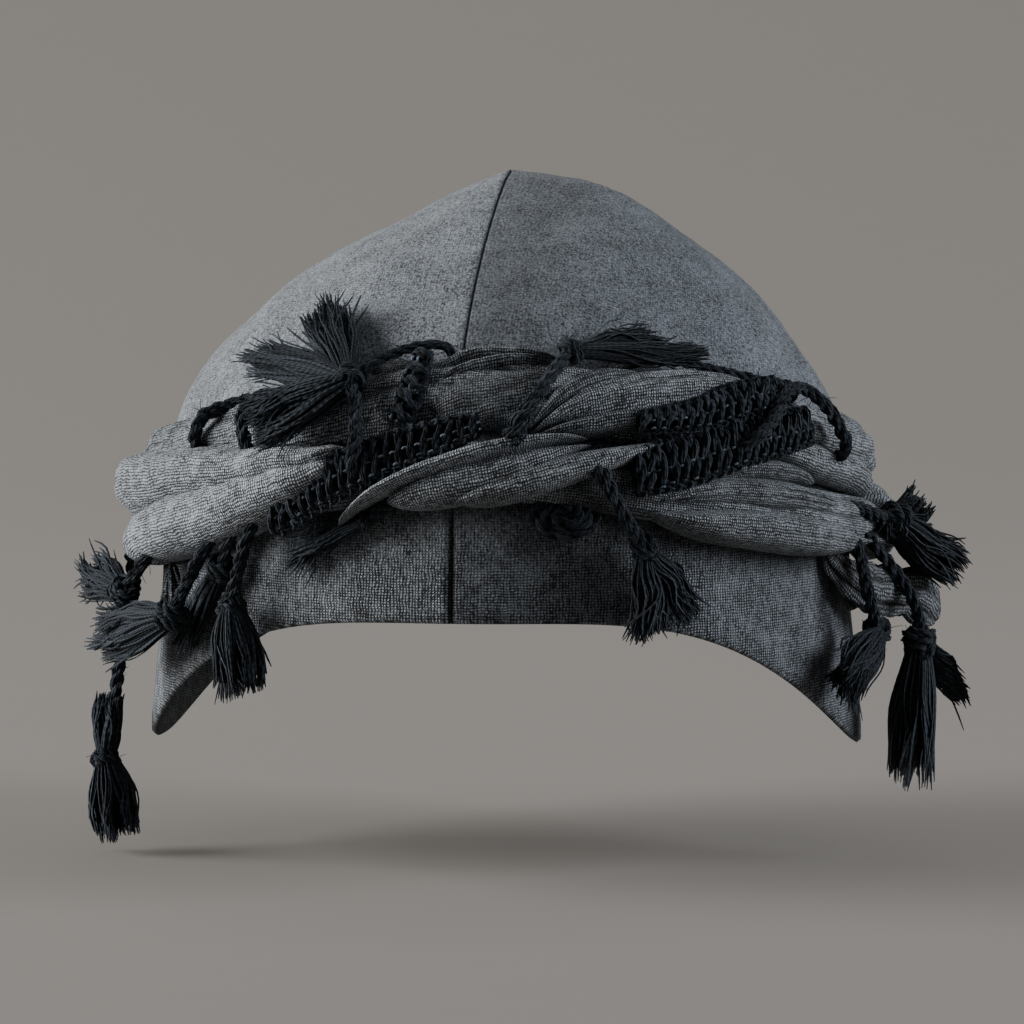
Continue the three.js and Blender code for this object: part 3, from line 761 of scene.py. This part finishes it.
def yarn_piece(work, node, yarn):
    """Makes the mesh a piece of black yarn that stands for the node."""
    work.piece(node + "_yarn", node, "black_yarn", material("black_yarn_twist", black_yarn, yarn))


def cap_panel(side):
    """One half of the cap: its outside, rim and lining, from the front seam to the back."""
    share = np.linspace(0, 1, CAP_ARCS + 1)
    turn = 180 * (share - 0.9 / (2 * math.pi) * np.sin(2 * math.pi * share))[:, None]
    angle = side * turn
    rim = level_at(-rim_drop(angle))
    share = np.linspace(0, 1, CAP_RISES + 1)[None]
    level = rim + (1 - rim) * share
    normal = cap_normal(angle, level)
    point = cap_point(angle, level)
    height = point[..., 2]
    radius = np.interp(level, LEVEL_SHARES, LEVEL_RADII)
    from_seam = radius * np.radians(np.minimum(turn, 180 - turn))
    along = np.interp(level, LEVEL_SHARES, RISE_LENGTHS)

    # The unevenness of the cloth, then the seam's dip, its lap and puckers, the hem and the dent
    lie = ripple(from_seam * side, along, 46, 3) * 0.55 + ripple(from_seam, along * side, 15, 8) * 0.14
    lie = lie * smooth(share, 0, 0.12) * smooth(from_seam, 0, 14)
    low = 1 - smooth(height, 18, 40)
    dip = -(0.6 + 0.5 * low) * bell(from_seam, 0, 0.55 + 0.35 * low)
    lap = (0.15 + 0.35 * low) * (side < 0) * bell(from_seam, 2.2, 1.6)
    pucker = 0.12 * np.sin(along * 1.9) * bell(from_seam, 1.8, 1.3)
    hem = 0.35 * bell(height + rim_drop(angle), 5.5, 2.5)
    dent = bell(angle, *BROW_DENT) * (1 - smooth(height, 20, 34))
    outer = point + normal * (lie + dip + lap + pucker + hem - DENT_DEPTH * dent)[..., None]
    inner = point - normal * CLOTH_WALL
    inner[..., 0] = side * np.maximum(side * inner[..., 0], 0)
    turned = (outer[:, :1] + inner[:, :1]) / 2 - [0, 0, 0.7]
    section = np.concatenate([inner[:, ::-1], turned, outer], 1)

    # The dark seam, then painted shadow under the lower strand's edge and painted shade in the brow's dent,
    # beside the seam on the right panel and on the lining
    seam = SEAM_SHADE * bell(from_seam, 0, 0.45 + 0.5 * low)
    painted_shadow_under_folds = CONTACT_SHADE * bell(height, underside(angle), 4.5)
    beside_seam = SIDE_SHADE * (side > 0) * bell(from_seam, 9, 14) * smooth(height, 30, 55)
    shade = np.maximum.reduce([seam, painted_shadow_under_folds, DENT_SHADE * dent, beside_seam])
    lining_cloth = stacked(from_seam * side, along, LINING_SHADE)
    outer_cloth = stacked(from_seam * side + FACE_SHIFT, along, shade)
    cloth = np.concatenate([lining_cloth[:, ::-1], outer_cloth[:, :1], outer_cloth], 1)
    work = Patchwork()
    work.grid(section, cloth)
    for end in (0, -1):
        strip = np.stack([inner[end], (inner[end] + outer[end]) / 2, outer[end]], 1)
        work.grid(strip, np.stack([outer_cloth[end]] * 3, 1), closed=False)
    return work


def between(values, t):
    """The quadratic through values at the start, the middle and the end."""
    start, middle, end = values
    return start * (1 - t) * (1 - 2 * t) + 4 * middle * t * (1 - t) + end * t * (2 * t - 1)


def gather(across, t, creases, sharpness, half, seed):
    """Creases that run along a fold: sharp valleys between round ridges, deepest at its ends."""
    chance = np.random.default_rng(seed)
    total = 0
    for layer, share in ((creases, 1.0), (2 * creases + 1, 0.35)):
        sway = 0.4 * np.sin(math.pi * t * chance.uniform(0.8, 1.6) + chance.uniform(0, 6))
        drift = chance.uniform(0.2, 0.8) + sway
        wave = np.abs(np.sin(math.pi * ((across * 0.5 + 0.5) * layer + drift)))
        total = total + share * (wave**0.42 - 0.8)
    strength = sharpness * (0.5 + 0.5 * np.abs(2 * t - 1) ** 1.5)
    return total * strength * np.minimum(1.3, 0.3 + half * 0.16)


def rounding(t):
    """How far a fold has swelled at shares along it, from its pointed start to its pointed end."""
    return np.sqrt(1 - np.abs(2 * t - 1) ** 3)


def half_ring(count):
    """The section of a fold: shares across it and out from its seat, from the seat's middle and back."""
    turn = np.linspace(0, math.pi, count)
    across = np.concatenate([[0], np.cos(turn), [0]])[None]
    out = np.concatenate([[0], np.sin(turn) ** FOLD_FULLNESS, [0]])[None]
    return across, out


def fold(work, row, seed, crease):
    """One fold of the scarf: round outside, flat where it lies on the cap."""
    angles, heights, halves, depth, creases, sharpness, wear_and_painted_shade = row
    span = np.radians(abs(angles[2] - angles[0])) * MEAN_RADIUS
    steps = int(max(36, span / 1.6))
    eased = (1 - np.cos(math.pi * np.linspace(0, 1, steps + 1))) / 2
    t = (0.0006 + 0.9988 * eased)[:, None]
    swell = rounding(t)
    half = between(halves, t) * swell**FOLD_TAPER
    depth = (depth - FOLD_SEAT) * swell
    tip = 0.01
    run = np.radians(between(angles, t + tip) - between(angles, t - tip)) * MEAN_RADIUS
    climb = between(heights, t + tip) - between(heights, t - tip)
    length = np.hypot(run, climb)
    across, out = half_ring(FOLD_RING)
    lift = gather(across, t, creases, sharpness, half, seed) * crease * out
    soft = ripple(across * half, t * span, 11, seed + 50) * 0.3 * out * swell
    wander = ripple(t * span, t * 0, 40, seed + 90) * 0.35 * swell
    reach = across * half + wander
    points = on_hat(
        between(angles, t) + np.degrees(-climb / length / MEAN_RADIUS) * reach,
        between(heights, t) + reach * run / length,
        FOLD_SEAT + depth * out + lift + soft,
    )
    ridge = FOLD_RING // 2
    along = lengths_along(points[:, ridge])[:, None]
    round_ = lengths_along(points)
    # Painted shade in the creases' valleys, plus the fold's own painted shade, or painted light below 0
    shade = np.clip(np.clip(-0.75 * lift - 0.05, 0, 0.85) + wear_and_painted_shade, -0.3, 0.9)
    work.grid(points, stacked(round_ - round_[:, [ridge]] + FOLD_SHIFT * seed, along, shade))


def core_height(core, angle):
    """The height of a plain roll's middle at each angle."""
    heights = np.array(core[0], float)[:, None]
    return catmull(heights, (np.asarray(angle, float) / 360) % 1, closed=True)[..., 0]


def underside(angle):
    """The height of the lower strand's bottom edge at each angle."""
    edge = core_height(LOWER_CORE, angle) - LOWER_CORE[1]
    t = np.linspace(0, 1, 80)
    far_up = CAP_LEVELS[-1][0]
    for angles, heights, halves, *_ in LOWER_FOLDS:
        at = between(angles, t)
        low = between(heights, t) - between(halves, t) * rounding(t) ** FOLD_TAPER
        order = np.argsort(at)
        edge = np.minimum(edge, np.interp(angle, at[order], low[order], left=far_up, right=far_up))
    return edge


def core_roll(work, core, seed, crease):
    """The plain roll that runs all the way round under the folds."""
    heights, half, depth = core
    angle = np.linspace(0, 360, 361)[:, None]
    across, out = half_ring(CORE_RING)
    run = np.radians(angle) * MEAN_RADIUS
    drift = 0.6 * np.sin(np.radians(angle) * 3 + seed) + 0.4 * np.sin(np.radians(angle) * 7)
    wave = np.abs(np.sin(math.pi * ((across * 0.5 + 0.5) * 3 + drift)))
    lift = (wave**0.5 - 0.75) * crease * out
    points = on_hat(angle, core_height(core, angle) + across * half, CORE_SEAT + depth * out + lift)
    points[-1] = points[0]
    # Painted shade in the creases' valleys and in the hollow under the middle fold
    middle, width, darkest = FRONT_HOLLOW
    painted_hollow_shade = darkest * bell(angle, middle, width) * (core is LOWER_CORE)
    shade = np.maximum(np.clip(-0.75 * lift, 0, 0.75), painted_hollow_shade)
    work.grid(points, stacked(across * half * 1.4 + ROLL_SHIFT, run, shade))


def back_folds(core, back):
    """Rows for the folds that follow the roll round the back."""
    first, count, halves, depth = back
    for i in range(count):
        start = first + i * BACK_PITCH
        angles = (start, start + BACK_SPAN / 2, start + BACK_SPAN)
        heights = tuple(float(core_height(core, a)) + rise for a, rise in zip(angles, BACK_RISE))
        yield (angles, heights, halves, depth, *BACK_CREASES)


def strand(core, folds, back, seed, crease):
    """One strand of the scarf: its plain roll and all its folds."""
    work = Patchwork()
    core_roll(work, core, seed, crease)
    for number, row in enumerate([*folds, *back_folds(core, back)]):
        fold(work, row, seed + number, crease)
    return work


def scarf_end(radius, route, seed, crease):
    """A rolled end of the scarf that comes out thin from its tuck and ends in a pinched roll."""
    work = Patchwork()
    centre, along = resample(places_on_hat(route), 0.7)
    side, lift = carried_frames(centre[None])
    turn = np.linspace(0, 2 * math.pi, 81)
    share = (along / along[-1])[:, None]
    ends = np.sqrt(np.clip(1 - np.abs(2 * share - 1) ** 5, 0, 1))
    swell = 0.5 + 0.5 * smooth(share, 0, 0.4) + 0.18 * smooth(share, 0.7, 0.95)
    wave = np.abs(np.sin(turn * 3 + 2.6 * share + 0.7 * np.sin(6 * share)))
    lumps = 0.14 * radius * ripple(np.sin(turn) * 8 + along[:, None], np.cos(turn) * 8, 9, seed + 5)
    reach = (radius * swell + (wave**0.45 - 0.8) * crease * 1.1 + lumps) * ends
    wide, tall = np.cos(turn)[:, None] * 0.8, np.sin(turn)[:, None] * 1.2
    ring = side[0][:, None] * wide + lift[0][:, None] * tall
    points = centre[:, None] + ring * reach[..., None]
    # Painted shade in the creases and over the whole end, deepest near its tuck under the roll
    painted_shade_near_tuck = 0.3 * (1 - smooth(share, 0.1, 0.7))
    shade = np.clip(0.7 * (0.78 - wave**0.45) + 0.38 + painted_shade_near_tuck, 0, 0.88)
    work.grid(points, stacked(turn * radius + END_SHIFT * seed, along[:, None], shade))
    return work


def gimp(row, yarn):
    """A ladder braid: bars of doubled yarn between two edge cords, on a dark braided ground."""
    angles, heights, widths, seat, flat_from = row
    work = Patchwork()
    fine = catmull(np.transpose([angles, heights, widths]), np.linspace(0, 1, 400))
    run = np.radians(np.gradient(fine[:, 0])) * MEAN_RADIUS
    climb = np.gradient(fine[:, 1])
    scale = np.hypot(run, climb)
    length = running_total(scale[1:])

    def strip(at, across, out):
        """Points of the strip at lengths along it, shares across it and heights above its seat."""
        columns = (*fine.T, run / scale, climb / scale)
        angle, height, width, dx, dy = (np.interp(at, length, column) for column in columns)
        reach = across * width / 2
        return on_hat(angle - np.degrees(reach * dy / MEAN_RADIUS), height + reach * dx, seat + out)

    total = length[-1]
    rows = np.linspace(0, total, int(total / 0.8))
    across = np.array([-0.1, -0.95, -1.0, -0.9, -0.5, 0, 0.5, 0.9, 1.0, 0.95, 0.1])[None]
    out = np.array([0, 0, 0.5, 0.9, 1.0, 1.05, 1.0, 0.9, 0.5, 0, 0])[None]
    work.grid(strip(rows[:, None], across, out), (0.0, 0.0, 0.02))

    # The bars, worn flat towards one end of some strips
    spacing = yarn.gimp_pitch * MM
    count = max(3, int(total / spacing))
    chance = np.random.default_rng(int(seat * 10) + count)
    centre = (np.arange(count) + 0.5) * total / count
    u = np.linspace(-1, 1, 15)
    for at in centre + chance.uniform(-0.3, 0.3, count):
        flat = float(smooth(at / total, flat_from, flat_from + 0.12))
        slant = chance.uniform(0.2, 0.9) * np.sin(u * 2) + chance.uniform(-0.4, 0.4) * u
        lifted = 1.2 + (1.5 - 0.9 * flat) * np.sqrt(np.clip(1 - u**4, 0, 1)) + chance.uniform(-0.2, 0.3)
        bar = strip(at + slant, u * chance.uniform(0.86, 1.02), lifted)
        lit = chance.uniform(0.3, 0.8) * (1 - 0.5 * flat)
        pitch = chance.uniform(9, 15)
        twisted_cord(work, bar, 1.5 - 0.4 * flat, pitch, plies=2, strands=5, step=0.9, shade=lit)

    # Two rows of small knots between the bars
    for row_at in (-0.8, -0.1):
        specks = centre + total / count / 2 + chance.uniform(-0.3, 0.3, count)
        place = specks[:, None] + np.linspace(-0.55, 0.55, 5)[None]
        level = row_at + chance.uniform(-0.06, 0.06, (count, 1))
        rise = 3.8 - 0.6 * np.abs(np.linspace(-1, 1, 5))
        yarns(work, strip(place, level, rise), 0.3, shade=chance.uniform(0.5, 6, count))

    # The edge cords, their loose hairs and the small loops beyond them
    for edge in (-1, 1):
        path = strip(rows, edge * (0.95 + 0.05 * np.sin(rows * 2.1 + edge)), 1.4)
        twisted_cord(work, path, 0.95, spacing * 2.2, plies=2, strands=4, shade=0.35)
        loose_hairs(work, path, 1.0, int(total * 1.3), 3.5, count + edge)
        loops = centre + chance.uniform(-0.4, 0.4, count)
        round_ = np.linspace(0, 2 * math.pi, 11)
        at = loops[:, None] + np.cos(round_)
        loop = strip(at, edge * (1.0 + 0.14 * np.sin(round_)), 1.6 + 0.9 * np.cos(round_))
        yarns(work, loop, 0.4, shade=chance.uniform(0.3, 0.9, count))
    return work


def coil(yarn):
    """A flat rosette of cord, wound from its middle."""
    work = Patchwork()
    centre = on_hat(*COIL_PLACE)
    outward = unit(on_hat(COIL_PLACE[0], COIL_PLACE[1], COIL_PLACE[2] + 1) - centre)
    side = unit(np.cross([0.0, 0.0, 1.0], outward))
    up = np.cross(outward, side)
    inner, outer = COIL_REACH
    turn = np.linspace(0, 2 * math.pi * COIL_TURNS, 26 * COIL_TURNS)
    share = turn / turn[-1]
    reach = inner + (outer - inner) * share
    rise = COIL_RISE - 1.2 * share + 0.4 * np.sin(turn * 2.3)
    path = (
        centre
        + side * (reach * np.cos(turn))[:, None]
        + up * (reach * np.sin(turn) * COIL_SQUASH)[:, None]
        + outward * rise[:, None]
    )
    twisted_cord(work, path, COIL_CORD, yarn.cord_twist * MM, plies=2, shade=0.5)
    return work


def brush(work, knot_place, knot, row, yarn, seed):
    """A brush of loose yarns that leaves the knot, swells and parts into locks."""
    tip, spread, flat, locks = row
    chance = np.random.default_rng(seed)
    end = on_hat(*tip)
    outward = on_hat(tip[0], tip[1], tip[2] + 1) - end
    axis = unit(end - knot_place)
    side = unit(np.cross(axis, outward))
    lift = np.cross(axis, side)
    reach = np.linalg.norm(end - knot_place)
    count = int(yarn.strands * (0.4 + spread / 10))
    s = np.linspace(0, 1, 10)[None]
    turn = chance.uniform(0, 2 * math.pi, count)
    out = np.sqrt(chance.uniform(0.02, 1, count))
    lock = np.round(turn / (2 * math.pi) * locks) * (2 * math.pi) / locks
    length = chance.uniform(0.8, 1.05, count) * (1 + 0.07 * np.cos(lock * 3 + seed))
    pull = 0.75 * smooth(s, 0.3, 1.0)
    bearing = turn[:, None] + (lock - turn)[:, None] * pull
    swell = np.interp(s, [0, 0.12, 0.4, 0.75, 1], [0, 0.25, 0.66, 0.95, 1.0])
    radius = (knot * 0.55 * (1 - swell) + spread * swell) * (out[:, None] * (1 - 0.2 * pull))
    flatness = 1 + (flat - 1) * swell
    stray = np.where(chance.uniform(0, 1, (count, 1)) < 0.12, 3.0, 1.0)
    single = np.sin(s * chance.uniform(4, 10, (count, 1)) + chance.uniform(0, 6, (count, 1)))
    together = np.sin(s * (5 + 2 * np.cos(lock * 5 + seed))[:, None] + (lock * 7)[:, None])
    wave = (0.42 * stray * single + 0.95 * together) * smooth(s, 0.1, 0.7)
    kink = chance.normal(0, 1.2, (count, 1)) * s**3 * stray
    x = radius * np.cos(bearing) + wave + kink
    y = radius * np.sin(bearing) * flatness + 0.6 * wave + 0.6 * chance.normal(0, 0.8, (count, 1)) * s**3
    z = reach * s * length[:, None] - 0.06 * radius**2 / max(spread, 1) * s
    paths = knot_place + axis * z[..., None] + side * x[..., None] + lift * y[..., None]
    thick = yarn.strand_thickness / 2 * MM * chance.uniform(0.75, 1.25, (count, 1))
    taper = np.interp(s, [0, 0.88, 1], [0.9, 1.0, 0.4])
    yarns(work, paths, thick * taper, sides=3, shade=chance.uniform(0.1, 1.1, count))


def knot_loops(work, place, radius, axis, seed):
    """An overhand knot: loops of cord tied round the brush's neck."""
    chance = np.random.default_rng(seed)
    turn = np.linspace(0, 2 * math.pi, 25)
    for number in range(5):
        tilt = unit(axis + chance.normal(0, 0.55 if number < 3 else 1.2, 3))
        side = unit(np.cross(tilt, chance.normal(0, 1, 3)))
        lift = np.cross(tilt, side)
        reach = radius * chance.uniform(0.62, 0.8)
        centre = place + axis * chance.uniform(-0.4, 0.4) * radius
        path = centre + reach * round_about(side, lift, turn)
        twisted_cord(work, path, radius * 0.34, 9.0, plies=2, strands=5, step=1.0)
        loose_hairs(work, path, radius * 0.32, 5, 4.0, seed * 5 + number)


def tassel(row, yarn, seed, fray):
    """A tassel: its stem of cord, its knot and its brushes."""
    stem, knot, brushes = row
    work = Patchwork()
    path = places_on_hat(tucked(stem, at_end=False))
    twisted_cord(work, path, STEM_CORD, yarn.cord_twist * MM, fray=fray)
    loose_hairs(work, path, STEM_CORD, *CORD_HAIRS, seed)
    place = path[-1]
    axis = unit(place - path[-2])
    knot_loops(work, place, knot, axis, seed)
    for number, one in enumerate(brushes):
        brush(work, place, knot, one, yarn, seed * 10 + number)
    return work


class WrapCloth(bpy.types.PropertyGroup):
    """The knitted cloth of the cap and the scarf."""

    stitch_width: FloatProperty(
        name="Stitch width", description="Width of one column of stitches", default=0.00088, unit="LENGTH"
    )
    stitch_height: FloatProperty(
        name="Stitch height", description="Height of one row of stitches", default=0.00072, unit="LENGTH"
    )
    crease_depth: FloatProperty(
        name="Crease depth", description="How deep the scarf's creases are", default=0.0016, unit="LENGTH"
    )
    light_grey: FloatVectorProperty(
        name="Left panel", description="Grey of the left panel",
        default=(0.127, 0.140, 0.155), subtype="COLOR", size=3,
    )
    dark_grey: FloatVectorProperty(
        name="Right panel", description="Grey of the right panel",
        default=(0.098, 0.109, 0.123), subtype="COLOR", size=3,
    )
    scarf_grey: FloatVectorProperty(
        name="Scarf", description="Grey of the scarf",
        default=(0.152, 0.167, 0.184), subtype="COLOR", size=3,
    )


class WrapYarn(bpy.types.PropertyGroup):
    """The black yarn of the gimp, cords and tassels."""

    colour: FloatVectorProperty(
        name="Yarn", description="Colour of the yarn",
        default=(0.0225, 0.0283, 0.0355), subtype="COLOR", size=3,
    )
    strand_thickness: FloatProperty(
        name="Strand", description="Thickness of a tassel's strand", default=0.00064, unit="LENGTH"
    )
    strands: IntProperty(
        name="Strands", description="Strands in a brush of middling width", default=292, min=20
    )
    cord_twist: FloatProperty(
        name="Cord twist", description="Length of one turn of a cord's plies", default=0.0115, unit="LENGTH"
    )
    gimp_pitch: FloatProperty(
        name="Gimp pitch", description="Distance between the bars of the gimp",
        default=0.0031, unit="LENGTH",
    )


class WrapStage(bpy.types.PropertyGroup):
    """The floor and the powers of the lights."""

    floor_height: FloatProperty(
        name="Floor height", description="Height of the floor under the wrap",
        default=-0.0725, unit="LENGTH",
    )
    floor_colour: FloatVectorProperty(
        name="Floor", description="Colour of the floor and backdrop",
        default=(0.164, 0.153, 0.1405), subtype="COLOR", size=3,
    )
    floor_glow: FloatProperty(
        name="Floor glow", description="Light given off by the paper itself", default=0.4
    )
    key_power: FloatProperty(
        name="Key light", description="Power of the light at the left", default=200.0, unit="POWER"
    )
    side_power: FloatProperty(
        name="Side light", description="Power of the light at the right", default=92.0, unit="POWER"
    )
    top_power: FloatProperty(
        name="Top light", description="Power of the light overhead", default=2.0, unit="POWER"
    )
    wall_power: FloatProperty(
        name="Wall light", description="Power of the light on the backdrop", default=9.0, unit="POWER"
    )
    sky: FloatProperty(
        name="Room light", description="Strength of the even light of the room", default=0.07
    )


def aimed(name, data, place, aim):
    """Adds a camera or lamp that looks from its place to its aim."""
    obj = bpy.data.objects.new(name, data)
    obj.location = place
    obj.rotation_euler = (Vector(place) - Vector(aim)).to_track_quat("Z", "Y").to_euler()
    bpy.context.scene.collection.objects.link(obj)
    return obj


def backdrop(stage):
    """A floor that bends up into a wall behind the wrap, square to the camera."""
    profile = [(-WALL_HALF_WIDTH, 0.0)]
    for bend in np.linspace(0, math.pi / 2, WALL_STEPS):
        far = WALL_REACH - WALL_BEND + WALL_BEND * math.sin(bend)
        profile.append((far, WALL_BEND - WALL_BEND * math.cos(bend)))
    profile.append((WALL_REACH, WALL_HEIGHT))
    turn = math.radians(CAMERA_TURN)
    ahead = np.array([-math.sin(turn), math.cos(turn)])
    right = np.array([math.cos(turn), math.sin(turn)])
    points = []
    for far, up in profile:
        for aside in (-WALL_HALF_WIDTH, WALL_HALF_WIDTH):
            points.append((*(ahead * far + right * aside), up + stage.floor_height))
    faces = [(2 * i, 2 * i + 1, 2 * i + 3, 2 * i + 2) for i in range(len(profile) - 1)]
    mesh = bpy.data.meshes.new("floor")
    mesh.from_pydata(points, [], faces)
    mesh.polygons.foreach_set("use_smooth", [True] * len(faces))
    mesh.materials.append(material("backdrop_paper", plain_backdrop, stage.floor_colour, stage.floor_glow))
    return mesh


class WRAP_OT_stage(bpy.types.Operator):
    """Make the camera, the lights and the floor"""

    bl_idname = "wrap.stage"
    bl_label = "Stage"

    def execute(self, context):
        stage = context.scene.wrap_stage
        turn, rise = math.radians(CAMERA_TURN), math.radians(CAMERA_RISE)
        back = Vector((math.sin(turn) * math.cos(rise), -math.cos(turn) * math.cos(rise), math.sin(rise)))
        camera = bpy.data.cameras.new("camera")
        camera.lens = CAMERA_LENS
        camera.sensor_width = CAMERA_SENSOR
        camera.clip_end = CAMERA_CLIP
        place = Vector(CAMERA_TARGET) + back * CAMERA_DISTANCE
        context.scene.camera = aimed("camera", camera, place, CAMERA_TARGET)

        for name, place, aim, size, power, colour in LAMPS:
            lamp = bpy.data.lights.new(name, "AREA")
            lamp.shape = "DISK"
            lamp.size = size
            lamp.energy = getattr(stage, power)
            lamp.color = colour
            aimed(name, lamp, place, aim)

        room = bpy.data.worlds.new("room")
        room.use_nodes = True
        room.node_tree.nodes["Background"].inputs["Color"].default_value = ROOM_COLOUR
        room.node_tree.nodes["Background"].inputs["Strength"].default_value = stage.sky
        context.scene.world = room

        floor = bpy.data.objects.new("floor", backdrop(stage))
        context.scene.collection.objects.link(floor)
        return {"FINISHED"}


class WRAP_OT_cap(bpy.types.Operator):
    """Make the two knitted panels of the cap"""

    bl_idname = "wrap.cap"
    bl_label = "Cap panels"

    def execute(self, context):
        cloth = context.scene.wrap_cloth
        left = ("left", -1, "jersey_light", cloth.light_grey)
        right = ("right", 1, "jersey_dark", cloth.dark_grey)
        for name, side, slot, grey in (left, right):
            knit = material(slot + "_knit", jersey, grey, PANEL_CONTRAST, BRUSHED_FROM, cloth)
            piece = cap_panel(side).piece("panel_" + name, "cap_panel_" + name, slot, knit, weld=True)
        return {"FINISHED"}


class WRAP_OT_scarf(bpy.types.Operator):
    """Make the two gathered strands of the scarf and its free ends"""

    bl_idname = "wrap.scarf"
    bl_label = "Scarf"

    def execute(self, context):
        cloth = context.scene.wrap_cloth
        crease = cloth.crease_depth * MM
        knit = material("scarf_jersey_knit", jersey, cloth.scarf_grey, SCARF_CONTRAST, NEVER_BRUSHED, cloth)
        works = [(name, strand(*row, crease), STRAND_FILL) for name, row in STRANDS.items()]
        for seed, (name, (radius, route)) in enumerate(SCARF_ENDS.items()):
            works.append((name, scarf_end(radius, route, seed, crease), END_FILL))
        for name, work, fill in works:
            piece = work.piece(name + "_cloth", name, "scarf_jersey", knit)
        return {"FINISHED"}


class WRAP_OT_gimp(bpy.types.Operator):
    """Make the strips of braided gimp"""

    bl_idname = "wrap.gimp"
    bl_label = "Gimp"

    def execute(self, context):
        yarn = context.scene.wrap_yarn
        for name, row in GIMPS.items():
            yarn_piece(gimp(row, yarn), name, yarn)
        return {"FINISHED"}


class WRAP_OT_cords(bpy.types.Operator):
    """Make the cords that lie on the scarf and the coil"""

    bl_idname = "wrap.cords"
    bl_label = "Cords"

    def execute(self, context):
        yarn = context.scene.wrap_yarn
        for name, (radius, route) in LYING_CORDS.items():
            work = Patchwork()
            path = places_on_hat(tucked(route))
            twisted_cord(work, path, radius, yarn.cord_twist * MM)
            loose_hairs(work, path, radius, *CORD_HAIRS, len(route))
            yarn_piece(work, name, yarn)
        yarn_piece(coil(yarn), "cord_coil", yarn)
        return {"FINISHED"}


class WRAP_OT_tassels(bpy.types.Operator):
    """Make the tassels"""

    bl_idname = "wrap.tassels"
    bl_label = "Tassels"

    def execute(self, context):
        yarn = context.scene.wrap_yarn
        for seed, (name, row) in enumerate(TASSELS.items()):
            work = tassel(row, yarn, seed + 1, LOOSE_STEMS.get(name, 0.0))
            yarn_piece(work, name, yarn)
        return {"FINISHED"}


OPERATORS = (WRAP_OT_stage, WRAP_OT_cords, WRAP_OT_cap, WRAP_OT_scarf, WRAP_OT_gimp, WRAP_OT_tassels)


class WRAP_PT_panel(bpy.types.Panel):
    """Lists the wrap's settings and steps"""

    bl_idname = "WRAP_PT_panel"
    bl_label = "Head Wrap"
    bl_space_type = "VIEW_3D"
    bl_region_type = "UI"
    bl_category = "Wrap"

    def draw(self, context):
        for group in (context.scene.wrap_cloth, context.scene.wrap_yarn, context.scene.wrap_stage):
            box = self.layout.box()
            for key in group.__annotations__:
                box.prop(group, key)
        for operator in OPERATORS:
            self.layout.operator(operator.bl_idname)


CLASSES = (WrapCloth, WrapYarn, WrapStage, *OPERATORS, WRAP_PT_panel)


def register():
    for one in CLASSES:
        bpy.utils.register_class(one)
    bpy.types.Scene.wrap_cloth = PointerProperty(type=WrapCloth)
    bpy.types.Scene.wrap_yarn = PointerProperty(type=WrapYarn)
    bpy.types.Scene.wrap_stage = PointerProperty(type=WrapStage)


def unregister():
    del bpy.types.Scene.wrap_stage
    del bpy.types.Scene.wrap_yarn
    del bpy.types.Scene.wrap_cloth
    for one in reversed(CLASSES):
        bpy.utils.unregister_class(one)


def main():
    register()
    bpy.ops.wrap.stage()
    bpy.ops.wrap.cords()
    bpy.ops.wrap.cap()
    bpy.ops.wrap.scarf()
    bpy.ops.wrap.gimp()
    bpy.ops.wrap.tassels()


if __name__ == "__main__":
    main()
